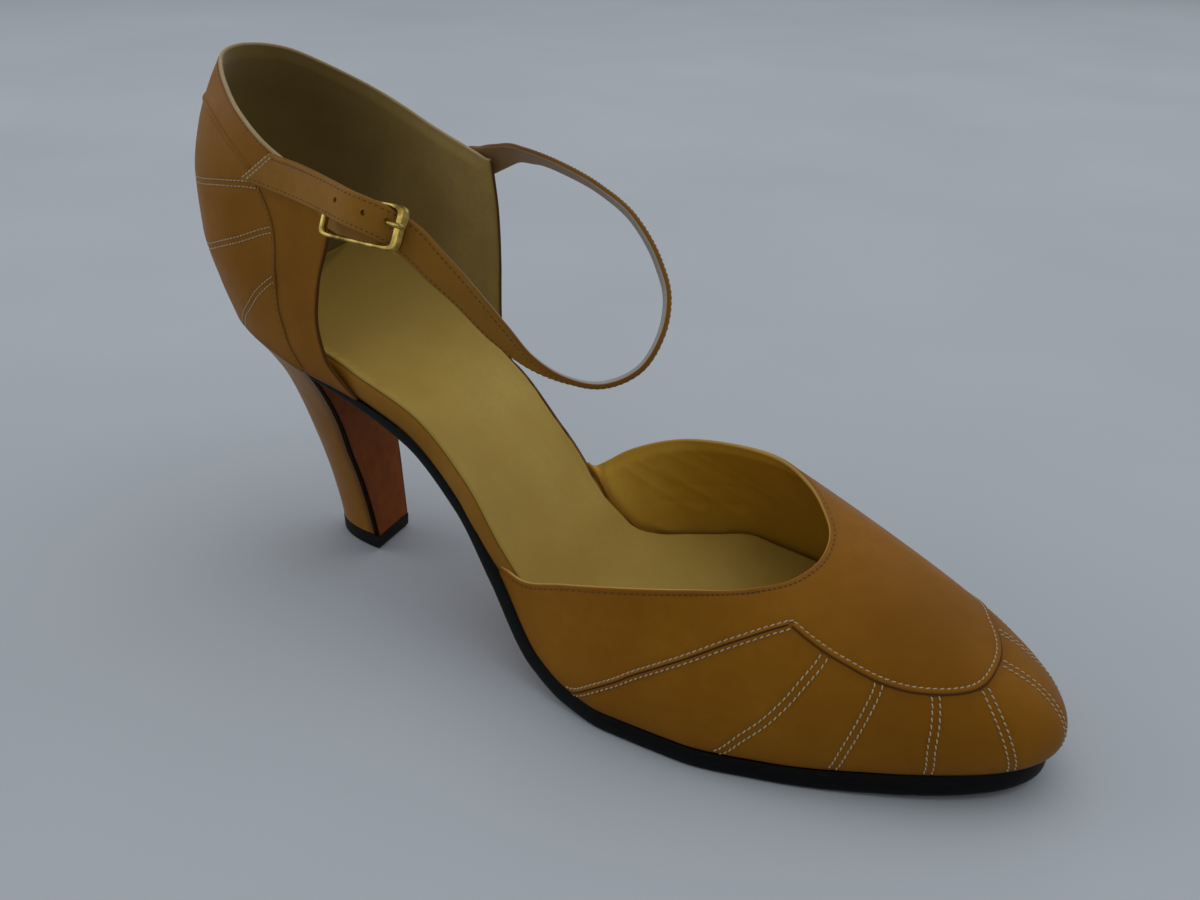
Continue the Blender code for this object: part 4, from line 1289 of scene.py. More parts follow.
@dataclass(frozen=True)
class Vamp(Upper):
    """Front of the upper: plug and wings over a mudguard with radiating double rows of stitches.

    Its seam rows are the lateral wing, the apron and the medial wing.
    """

    node: str = "vamp"
    edge_stitching: str = "vamp_topline_stitching"
    foot: float = 0.15
    wing_gap: float = 0.84
    apron_gap: float = 1.02
    joined: float = 0.2
    sock_over: float = 4.2
    # Painted shade along the lining's fold at the sock.
    fold_shade: float = 0.85
    fold_width: float = 1.1
    fold_start: float = 106.0
    fold_long: float = 5.0
    edge_stitch: Stitch = Stitch(pitch=1.3, length=0.72, radius=0.17, lift=0.05, sink=0.14, lean=0.0)
    seam_rows: tuple[Knots, ...] = (
        ((0.092, 0.1), (0.11, 0.32), (0.15, 0.548), (0.19, 0.667), (0.23, 0.749), (0.275, 0.815),
         (0.313, 0.854), (0.338, 0.87)),
        ((0.338, 0.87), (0.341, 0.82), (0.347, 0.765), (0.357, 0.705), (0.37, 0.641), (0.386, 0.597),
         (0.404, 0.575), (0.419, 0.565), (0.435, 0.566), (0.446, 0.579), (0.4605, 0.605), (0.4805, 0.633),
         (0.496, 0.649), (0.506, 0.655), (0.522, 0.644), (0.54, 0.625), (0.56, 0.61), (0.58, 0.612),
         (0.6, 0.636), (0.614, 0.68), (0.624, 0.735), (0.632, 0.8), (0.636, 0.87)),
        ((0.636, 0.87), (0.657, 0.854), (0.69, 0.818), (0.73, 0.755), (0.77, 0.69), (0.81, 0.575),
         (0.85, 0.345), (0.865, 0.05)))
    double_rows: tuple[Knots, ...] = (
        ((0.344, 0.752), (0.31, 0.643), (0.284, 0.523), (0.261, 0.389), (0.241, 0.251), (0.224, 0.04)),
        ((0.37, 0.637), (0.347, 0.511), (0.329, 0.373), (0.317, 0.228), (0.309, 0.04)),
        ((0.404, 0.571), (0.3915, 0.455), (0.38, 0.295), (0.376, 0.04)),
        ((0.441, 0.562), (0.437, 0.497), (0.434, 0.419), (0.432, 0.289), (0.435, 0.04)),
        ((0.47, 0.61), (0.474, 0.565), (0.479, 0.473), (0.481, 0.35), (0.482, 0.04)),
        ((0.499, 0.643), (0.503, 0.605), (0.507, 0.52), (0.513, 0.35), (0.518, 0.04)),
        ((0.538, 0.612), (0.543, 0.5), (0.548, 0.4), (0.55, 0.28), (0.551, 0.04)),
        ((0.573, 0.595), (0.587, 0.455), (0.598, 0.295), (0.603, 0.04)),
        ((0.607, 0.635), (0.631, 0.511), (0.649, 0.373), (0.661, 0.228), (0.669, 0.04)),
        ((0.632, 0.757), (0.668, 0.643), (0.694, 0.523), (0.717, 0.389), (0.737, 0.251), (0.754, 0.04)))
    lining_creases: tuple[Crease, ...] = (
        Crease((0.92, 0.93), (0.86, 0.66), 0.13, 0.9), Crease((0.89, 0.95), (0.835, 0.76), 0.1, 0.8),
        Crease((0.86, 0.9), (0.815, 0.62), 0.13, 1.0), Crease((0.835, 0.97), (0.79, 0.82), 0.09, 0.7),
        Crease((0.815, 0.86), (0.775, 0.66), 0.1, 0.9), Crease((0.79, 0.96), (0.745, 0.76), 0.09, 0.8),
        Crease((0.74, 0.9), (0.71, 0.68), 0.08, 1.2), Crease((0.9, 0.74), (0.8, 0.7), -0.09, 0.9),
        Crease((0.87, 0.82), (0.76, 0.8), -0.07, 0.8), Crease((0.92, 0.5), (0.85, 0.52), 0.3, 1.1),
        Crease((0.3, 0.9), (0.16, 0.7), 0.3, 2.6))
    flex_creases: tuple[Crease, ...] = (
        Crease((0.12, 0.55), (0.24, 0.92), -0.22, 5.0), Crease((0.86, 0.5), (0.76, 0.9), -0.22, 5.0),
        Crease((0.33, 0.97), (0.36, 0.9), -0.14, 3.0))

    def sheet(self) -> Sheet:
        """The vamp's outer face, from the lateral end round the toe."""
        return Sheet(self.form.vamp, 0.0, 1.0, 1.0)

    def materials(self) -> tuple[Material, ...]:
        """Calf, a folded rim and a glazed lining."""
        return self.finishes.upper, self.finishes.fold, self.finishes.vamp_lining

    def inner_tone(self, points: Array) -> Array:
        """Painted shade in the fold of the lining where it meets the sock on the inner side."""
        x, y, z = np.moveaxis(points, -1, 0)
        fold = self.form.feather(x) + self.sock_over + self.form.sock_rise.even("medial", x)
        near = bell(z - fold, self.fold_width) * (y > 0)
        return self.fold_shade * near * ease((x - self.fold_start) / self.fold_long)

    def build_seams(self) -> Item:
        """Raised apron edge and the two wing seams."""
        parts = MeshParts()
        lateral, apron, medial = self.lines(*self.seam_rows)
        WING_EDGE.sweep(parts, lateral, end=self.joined)
        WING_EDGE.sweep(parts, medial, start=self.joined)
        APRON_EDGE.sweep(parts, apron, self.joined, self.joined)
        return parts.build("vamp_seam_edges", (self.finishes.upper,), recalc=True)

    def sew_seams(self, pale: MeshParts, brown: MeshParts) -> None:
        """Cream rows on both sides of the wings and on the apron, which run on into each other."""
        sheet = self.sheet()
        lateral, apron, medial = (line.even(self.stitch.pitch) for line in self.lines(*self.seam_rows))
        for wing in (lateral, medial):
            self.stitch.row(pale, sheet, *sheet.shifted(*wing, -self.wing_gap), 0.0)
        gaps = zip((lateral, apron, medial), (self.wing_gap, self.apron_gap, self.wing_gap))
        rows = [sheet.shifted(*places, gap) for places, gap in gaps]
        self.stitch.row(pale, sheet, *np.concatenate(rows, axis=1), 0.0)


@dataclass(frozen=True)
class Quarter(Upper):
    """Back of the upper: a counter with double rows, a facing panel at each front and a pale topline.

    Its seam row is the facing's edge.
    """

    node: str = "quarter"
    edge_stitching: str = "quarter_edge_stitching"
    mirrored: bool = True
    rims: Pair = (0.65, 0.45)
    end_ink: float = 0.85
    grid: tuple[int, int, float] = (300, 84, 0.0076)
    row_gap: float = 0.66
    row_width: float = 0.55
    row_sink: float = 0.12
    row_dark: float = 0.08
    row_height: float = -0.05
    seam_dirt_and_shade: float = 0.18
    seam_dirt_and_shade_width: float = 1.2
    sole_dirt: float = 0.4
    sole_dirt_high: float = 1.2
    bead: float = 0.0
    topline_drop: float = 1.3
    topline_sink: float = 0.06
    topline_dark: float = 0.0
    topline_height: float = -0.08
    topline_ends: Pair = (-0.985, 0.985)
    topline_places: int = 140
    edge_gap: float = 1.0
    # Painted shade inside the heel cup, fading towards the front.
    back_shade: float = 0.75
    back_shade_start: float = 18.0
    back_shade_long: float = 52.0
    stitch: Stitch = Stitch(pitch=1.4, length=1.05, radius=0.14, lift=0.07)
    edge_stitch: Stitch = Stitch(pitch=1.4, length=0.85, radius=0.11, lift=0.03, sink=0.14, lean=0.0)
    seam_rows: tuple[Knots, ...] = ((
        (-0.762, 0.802), (-0.785, 0.766), (-0.808, 0.729), (-0.833, 0.665), (-0.85, 0.563), (-0.851, 0.453),
        (-0.856, 0.343), (-0.856, 0.24), (-0.86, 0.156), (-0.858, 0.084), (-0.847, 0.01)),)
    double_rows: tuple[Knots, ...] = (
        ((0, 0.485), (-0.25, 0.515), (-0.46, 0.583), (-0.633, 0.683), (-0.76, 0.785)),
        ((0, 0.17), (-0.25, 0.22), (-0.513, 0.335), (-0.703, 0.483), (-0.828, 0.643)),
        ((-0.53, 0.01), (-0.6, 0.075), (-0.668, 0.142), (-0.768, 0.287), (-0.842, 0.409)))
    collar: Knots = (
        (-0.74, 0.822), (-0.64, 0.842), (-0.558, 0.852), (-0.45, 0.852), (-0.3, 0.836), (-0.15, 0.826),
        (0, 0.826))
    lining_creases: tuple[Crease, ...] = (
        Crease((0.9, 0.9), (0.86, 0.3), 0.25, 3.0), Crease((0.7, 0.95), (0.62, 0.4), 0.2, 4.0),
        Crease((0.45, 0.8), (0.5, 0.3), 0.2, 5.0))
    flex_creases: tuple[Crease, ...] = (
        Crease((-0.98, 0.55), (-0.86, 0.42), -0.18, 3.0), Crease((-0.97, 0.3), (-0.87, 0.2), -0.14, 3.0),
        Crease((-0.35, 0.8), (-0.6, 0.78), -0.15, 5.0), Crease((0.98, 0.5), (0.86, 0.38), -0.18, 3.0))

    def sheet(self) -> Sheet:
        """The quarter's outer face, from the lateral front edge round the back."""
        return Sheet(self.form.quarter, -1.0, 1.0, -1.0)

    def materials(self) -> tuple[Material, ...]:
        """Calf, a pale cut rim and a napped lining."""
        return self.finishes.upper, self.finishes.raw_edge, self.finishes.quarter_lining

    def inner_tone(self, points: Array) -> Array:
        """Painted shade on the lining, deepest at the back of the heel cup."""
        return self.back_shade * (1 - ease((points[..., 0] - self.back_shade_start) / self.back_shade_long))

    def build_seams(self) -> Item:
        """Raised edge of the facing panel on both sides and of the counter under the collar."""
        parts = MeshParts()
        lateral, medial = self.lines(*self.seam_rows)
        FACING_EDGE.sweep(parts, Line(lateral.sheet, lateral.knots[::-1]))
        FACING_EDGE.sweep(parts, medial)
        lateral, medial = self.lines(self.collar)
        COLLAR_EDGE.sweep(parts, Line(lateral.sheet, medial.knots + lateral.knots[-2::-1]))
        return parts.build("quarter_seam_edges", (self.finishes.upper,), recalc=True)

    def sew_seams(self, pale: MeshParts, brown: MeshParts) -> None:
        """Tan rows along the facings and the collar."""
        sheet, edge = self.sheet(), self.edge_stitch
        for knots in (*self.seam_rows, self.collar):
            for side, line in zip((-self.edge_gap, self.edge_gap), self.lines(knots)):
                edge.row(brown, sheet, *sheet.shifted(*line.even(edge.pitch), side), 0.0)


# Bottom

@dataclass(frozen=True)
class RimmedSlab:
    """A slab between a lateral and a medial edge, with a profile carried round its rim and filled faces."""

    profile: Table
    columns: int = 14
    curl: float = 1.8
    # Painted shade: the filled faces darken towards the heel, standing in for the quarter's shadow on the
    # sock.
    heel_shade: float = 0.0
    heel_shade_start: float = 30.0
    heel_shade_long: float = 60.0

    def parts(self, lateral: Array, medial: Array, down: Array, crown: float) -> MeshParts:
        """Gather the slab.

        The rim runs up the lateral edge and back down the medial one, moved in by the profile's inset and
        down by its depth; the faces join both edges, curling up as a power of the way to a higher medial
        edge and sunk in the middle by the crown.

        Args:
            lateral: Points of the lateral top edge, back to front.
            medial: Points of the medial top edge, back to front.
            down: Vector from top to bottom at each station.
            crown: How far the top sinks in the middle.

        Returns:
            The gathered patches: zone 0 rim, 1 top, 2 bottom.
        """
        ring = np.concatenate([lateral, medial[::-1]])
        out = np.concatenate([plan_out(lateral, Side.LATERAL), plan_out(medial, Side.MEDIAL)[::-1]])
        drop = np.concatenate([down, down[::-1]])
        inset, depth, tone = np.array(self.profile.rows).T
        rim = ring[None] - out[None] * inset[:, None, None] + drop[None] * depth[:, None, None]
        rows, around = len(inset), len(ring)
        stations = len(lateral)
        share = np.linspace(0, 1.0, self.columns)
        parts = MeshParts()
        parts.add(rim, (grid_quads(rows, around, wrap=True),), 0, tone[:, None])
        for zone, row, sink in ((1, 0, crown), (2, rows - 1, 0.0)):
            left, right = rim[row, :stations], rim[row, stations:][::-1]
            fill = left[:, None] * (1 - share)[None, :, None] + right[:, None] * share[None, :, None]
            curl = (right - left)[:, None, 2] * (share**self.curl - share)[None, :]
            fill[..., 2] += curl - sink * (4.0 * share * (1 - share))[None, :]
            # Painted shade, strongest at the heel end and fading towards the front.
            heel_shade = self.heel_shade * (1 - ease((fill[..., 0] - self.heel_shade_start) / self.heel_shade_long))
            parts.add(fill, (grid_quads(stations, self.columns),), zone, heel_shade)
        return parts


def plan_out(points: Array, side: Side) -> Array:
    """Outward plan directions of an edge that runs back to front."""
    tangent = unit(np.gradient(points, axis=0) * np.array((1.0, 1.0, 0.0)))
    return np.stack([-tangent[:, 1], tangent[:, 0], np.zeros(len(points))], axis=1) * side.value


def square_down(x: Array, z: Array, thick: Array) -> Array:
    """Vectors from top to bottom, square to a slope."""
    slope = np.gradient(z, x)
    size = np.sqrt(1 + slope**2)
    return np.stack([slope / size, np.zeros_like(x), -1.0 / size], axis=1) * thick[:, None]


@dataclass(frozen=True)
class Sole:
    """Leather outsole with an inked edge that thins to the heel breast."""

    form: ShoeForm
    finishes: Finishes
    breast_x: float = 43.3
    tread_start: float = 146.0
    tread_end: float = 164.0
    toe_blunt: float = 0.04
    skew: float = 0.2
    skew_fade: float = 34.0
    toe_pull: float = 0.022
    thickness: Table = Table("x thick", (
        (43, 0.9), (52, 1.4), (70, 2.4), (90, 3.1), (108, 3.5), (126, 4.1), (142, 4.4), (181, 4.45),
        (200, 5), (216, 5.2), (230, 4.8)))
    profile: Table = Table("inset depth tone", (
        (1.6, 0, 0), (0.5, 0, 0), (0.16, 0.04, 0), (0, 0.16, 0), (-0.04, 0.4, 0), (-0.02, 0.65, 0.05),
        (0.08, 0.85, 0.2), (0.3, 0.97, 0.45), (0.7, 1, 0.3), (1.6, 1, 0)))

    def build(self) -> None:
        """Build and dress the outsole."""
        turn = np.linspace(0, math.pi / 2, 60)
        toe = self.form.long - self.toe_blunt - self.tread_end
        x = np.concatenate([np.linspace(self.breast_x, self.tread_start, 90)[:-1],
                            np.linspace(self.tread_start, self.tread_end, 14)[:-1],
                            self.tread_end + toe * np.sin(turn)])
        fade = np.clip(1 - (x - self.breast_x) / self.skew_fade, 0, 1)
        edges = []
        for side in Side:
            y = self.form.half(x, side) * side.value
            moved = x - self.skew * y * fade - self.toe_pull * np.maximum(x - self.tread_end, 0.0)
            edges.append(np.stack([moved, y, self.form.under(moved)], axis=1))
        down = square_down(x, self.form.under(x), self.thickness.even("thick", x))
        flat = (x >= self.tread_start) & (x <= self.tread_end)
        down[flat, 0] = 0.0
        down[flat, 2] = -self.thickness.even("thick", x[flat])
        down[0, 0] = 0.0
        parts = RimmedSlab(self.profile).parts(*edges, down, 0.0)
        made = self.finishes
        item = parts.build("sole_leather", (made.sole_edge, made.sole_edge, made.sole_leather), weld=True,
                           recalc=True)
        place(item, Slot.SOLE_EDGE, "outsole")


@dataclass(frozen=True)
class Insole:
    """Insole board wrapped in the upper's leather, with a sock on top that stops short of its edge."""

    form: ShoeForm
    finishes: Finishes
    back: float = 9.4
    front: float = 225.2
    end_ease: float = 14.0
    thick: float = 4.4
    blunt: float = 0.05
    dish: float = 0.7
    sock_inset: float = 0.9
    sock_thick: float = 0.5
    sock_bed: float = 0.2
    flare: float = 0.28
    # Strength of the painted shade over the sock's heel, where the quarter's shadow falls.
    sock_heel_shade: float = 0.75
    columns: int = 24
    inset: Table = Table("x lateral medial", (
        (6, 3.3, 3.3), (50, 3.2, 3.3), (58, 2.2, 3.3), (66, 1, 3.2), (76, 0.6, 2.8), (84, 0.6, 2.5),
        (98, 0.6, 2.3), (104, 0.6, 1.9), (110, 1, 1.6), (116, 2.2, 1.7), (124, 3.3, 2.5), (132, 3.3, 3),
        (230, 3.3, 3)))
    sock_back: Table = Table("x lateral medial", (
        (6, 0.9, 0.9), (66, 0.9, 0.9), (76, 0.9, 1.5), (84, 0.9, 2), (98, 0.9, 2.1), (110, 0.9, 2.2),
        (118, 0.9, 1.9), (128, 0.9, 0.9), (230, 0.9, 0.9)))
    fill: Table = Table("x extra", (
        (9, 0), (50, 0.1), (70, 0.4), (90, 0.5), (108, 0.4), (126, 0.2), (142, 0), (230, 0)))
    # Tone columns: on the board, the top margin (0.9) is painted shadow of the sock's edge and the rise at
    # the bottom darkens its lower edge; on the sock, the tone darkens its cut edge into the same painted
    # shadow line.
    board_profile: Table = Table("inset depth tone", (
        (1.8, 0, 0.9), (0.9, 0, 0.9), (0.66, 0.03, 0.1), (0.3, 0.1, 0), (0.04, 0.25, 0.02), (0, 0.5, 0.06),
        (0, 0.8, 0.2), (0.06, 0.95, 0.6), (0.2, 1, 0.8), (1.5, 1, 0)))
    sock_profile: Table = Table("inset depth tone", (
        (1.3, 0.05, 0), (0.7, -0.25, 0), (0.3, -0.2, 0), (0.06, 0.2, 0.15), (0, 0.6, 0.5), (0.1, 1, 0.7),
        (1, 1.1, 0.3)))

    def edges(self, extra: float, raise_z: float) -> tuple[Array, Array, Array]:
        """Lateral and medial top edges, moved in by an extra inset; the sock curls up the inner side.

        Args:
            extra: Inset beyond the board's own, none for the board.
            raise_z: Height over the board's top.

        Returns:
            Stations, lateral points and medial points.
        """
        turn = np.linspace(0, math.pi, 172)[1:-1]
        back, front = self.back + extra, self.front - extra
        x = back + (front - back) * (1 - np.cos(turn)) / 2
        stretched = np.interp(x, (back, front), (self.form.seat_back, self.form.long))
        ends = np.clip(np.minimum(x - back, front - x) / self.end_ease, 0, 1)
        z = self.form.feather(x) + GAP + self.thick + raise_z
        sides = []
        rise = self.form.sock_rise.even("medial", x) * ends
        rise = rise if extra > 0 else np.minimum(rise, 0.0)
        for side in Side:
            curl = rise * (side is Side.MEDIAL)
            name = side.name.lower()
            kept = self.sock_back.even(name, x) if extra > 0 else 0.0
            away = (self.inset.even(name, x) + kept) * ends - self.flare * np.maximum(curl, 0)
            full = self.form.half(x, side) * ends + self.form.half(stretched, side) * (1 - ends)
            y = np.maximum(full - away, self.blunt) * side.value
            sides.append(np.stack([x, y, z + curl], axis=1))
        return x, *sides

    def slab(self, name: str, extra: float, raise_z: float, thick: float, filled: float, profile: Table,
             materials: Sequence[Material]) -> Item:
        """One layer of the insole, made deeper by a share of the waist's fill."""
        x, lateral, medial = self.edges(extra, raise_z)
        down = square_down(x, self.form.feather(x), thick + filled * self.fill.even("extra", x))
        ends = np.clip(np.minimum(x - self.back, self.front - x) / self.end_ease, 0, 1)
        down[:, 0] *= ends
        layer = RimmedSlab(profile, self.columns, heel_shade=self.sock_heel_shade)
        return layer.parts(lateral, medial, down, self.dish).build(name, materials, weld=True, recalc=True)

    def build(self) -> None:
        """Build and dress the board and its sock."""
        made = self.finishes
        board = self.slab("insole_board", 0.0, 0.0, self.thick, 1.0, self.board_profile,
                          (made.strap, made.vamp_lining, made.strap))
        place(board, Slot.SOCK, "insole")
        sock = self.slab("insole_sock", self.sock_inset, self.sock_thick, self.sock_thick + self.sock_bed,
                         0.0, self.sock_profile, (made.sock,) * 3)
        place(sock, Slot.SOCK)


@dataclass(frozen=True)
class CoveredHeel:
    """Slim covered heel with a sole-leather breast and a walking tip."""

    form: ShoeForm
    finishes: Finishes
    breast_x: float = 43.0
    skew: float = 0.2
    fullness: float = 2.3
    seat_half: float = 23.0
    breast_thick: float = 1.3
    tip_height: float = 3.8
    breast_top: float = 51.4
    inner_share: float = 0.87
    ring_count: int = 97
    # How far the cover darkens along its front corners and over its front face.
    corner_dark_columns: float = 2.4
    cover_corner_dark: float = 0.7
    sharp_angle: float = 48.0
    lip: float = 0.5
    lip_share: float = 0.1
    fine_share: float = 0.2
    breast_grid: tuple[int, int, float] = (60, 70, 0.03)
    breast_ink: Pair = (0.25, 0.4)
    levels: Table = Table("breast_z back_z breast_x back_x half_width", (
        (50.6, 57.4, 42.6, 11.5, 20.4), (44, 49.5, 43.6, 18.4, 16.8), (37, 40, 44.5, 23.3, 14),
        (29, 30, 45.3, 27.5, 11.8), (20, 20, 47.4, 31, 10), (10, 10, 49.2, 33.6, 8.6),
        (4.1, 4.1, 50.1, 34.7, 8)))
    tip_levels: Table = Table("z breast_x back_x half_width", (
        (3.8, 51.3, 34.8, 7.8), (3.7, 51.6, 34.5, 8.1), (3.4, 51.7, 34.4, 8.2), (2, 51.65, 34.5, 8.1),
        (0.5, 51.6, 34.6, 8), (0.15, 51.4, 34.8, 7.85), (0, 51.1, 35.1, 7.6)))

    def d_ring(self, breast_x: float, back_x: float, wide: float) -> tuple[Array, Array, Array]:
        """Half ring of a D section: a superellipse from the lateral breast corner round the back.

        Args:
            breast_x: Place of the flat side.
            back_x: Place of the back.
            wide: Half width.

        Returns:
            Plan x, plan y and how far back each point is.
        """
        turn = np.linspace(-math.pi / 2, math.pi / 2, self.ring_count)
        back = np.abs(np.cos(turn)) ** (2.0 / self.fullness)
        side = squared(np.sin(turn), 2.0 / self.fullness)
        side = np.where(side > 0, side * self.inner_share, side)
        return breast_x + (back_x - breast_x) * back - self.skew * wide * side, wide * side, back

    def stack(self) -> Array:
        """Rings of the heel from the seat outline down, one for each level."""
        rings = []
        for row in self.levels.rows:
            breast_z, back_z, breast_x, back_x, wide = row
            x, y, back = self.d_ring(breast_x, back_x, wide)
            rings.append(np.stack([x, y, breast_z + (back_z - breast_z) * back], axis=1))
        x, y, back = self.d_ring(self.breast_x, self.form.seat_back, self.seat_half)
        front = np.where(y < 0, x[0], x[-1])
        x = front + (self.form.seat_back - front) * back
        y = self.form.edge(x, y < 0)
        y[self.ring_count // 2] = 0.0
        return np.stack([np.stack([x, y, self.form.feather(x)], axis=1)] + rings)

    def loft(self, name: str, rings: Array, material: Material, ink: float) -> Item:
        """Close a stack of rings with a flat front, a top and a bottom, darkened along the front corners.
        """
        rows, columns, _ = rings.shape
        corner = np.minimum(np.arange(columns), np.arange(columns)[::-1])
        share = np.linspace(0, 1.0, 15)
        front = rings[:, -1:] * (1 - share)[None, :, None] + rings[:, :1] * share[None, :, None]
        parts = MeshParts()
        # The ink argument sets how dark the corners and the front face become.
        parts.add(rings, (grid_quads(rows, columns), tube_faces(rows, columns)[1]), 0,
                  ink * bell(corner, self.corner_dark_columns))
        parts.add(front, (grid_quads(rows, len(share)),), 0, ink)
        item = parts.build(name, (material,), weld=True, recalc=True)
        item.data.set_sharp_from_angle(angle=math.radians(self.sharp_angle))
        return item

    def build_block(self) -> Item:
        """Heel block: the levels joined by a flowing cubic, with a rolled top lip."""
        stack = self.stack()
        keys = np.arange(len(stack), dtype=float)
        fine = self.fine_share
        at = np.concatenate([np.linspace(0, fine, 10)[:-1], np.linspace(fine, keys[-1], 60)])
        rings = flowing(keys, stack, at)
        lip = self.lip * (1 - quarter_round(at / self.lip_share))
        middle = rings.mean(axis=1, keepdims=True)
        rings = rings - unit((rings - middle) * np.array((1.0, 1.0, 0.0))) * lip[:, None, None]
        return self.loft("heel_cover", rings, self.finishes.heel, self.cover_corner_dark)

    def at_height(self, name: str, z: Array) -> Array:
        """A column of the levels, read by the height of the breast."""
        return flowing(-self.levels.column("breast_z"), self.levels.column(name), -z)

    def breast_sheet(self, across: Array, up: Array) -> Array:
        """Front face of the breast leather: straight across, following the heel's breast line up."""
        low, high = self.tip_height + SEAT_GAP, self.breast_top
        z = low + (high - low) * np.asarray(up, dtype=float)
        x = self.at_height("breast_x", z) + GAP + self.breast_thick
        y = self.at_height("half_width", z) * np.where(across > 0, across * self.inner_share, across)
        return np.stack([x - self.skew * y, y, z + 0.0 * y], axis=-1)

    def build_breast(self) -> Item:
        """Breast leather as a closed wall with inked edges."""
        wall = Wall(Sheet(self.breast_sheet, -1.0, 1.0, 1.0), self.breast_thick, 0.0, 0.0, end_ink=1.0)

        def tone(points: Array, below: Array) -> Array:
            """Ink along both sides."""
            half = self.at_height("half_width", points[..., 2])
            half = np.where(points[..., 1] > 0, half * self.inner_share, half)
            return 1 - ease((half - np.abs(points[..., 1]) - self.breast_ink[0]) / self.breast_ink[1])

        def flat(points: Array, below: Array | None = None) -> Array:
            """No bend."""
            return np.zeros(points.shape[:-1])

        parts = wall.parts(*wall.grid(*self.breast_grid), flat, flat, tone)
        leather, ink = self.finishes.sole_leather, self.finishes.sole_edge
        return parts.build("breast_leather", (leather, leather, ink), weld=True)

    def build_tip(self) -> Item:
        """Walking tip: D rings with softened edges."""
        rings = []
        for z, breast_x, back_x, wide in self.tip_levels.rows:
            x, y, _ = self.d_ring(breast_x, back_x, wide)
            rings.append(np.stack([x, y, np.full_like(x, z)], axis=1))
        return self.loft("heel_tip", np.stack(rings), self.finishes.rubber, 0.0)

    def build(self) -> None:
        """Build and dress the heel."""
        place(self.build_block(), Slot.HEEL_COVER, "heel_block")
        place(self.build_breast(), Slot.BREAST, "heel_breast_cover")
        place(self.build_tip(), Slot.TOP_PIECE, "heel_top_piece")


# Strap and buckle

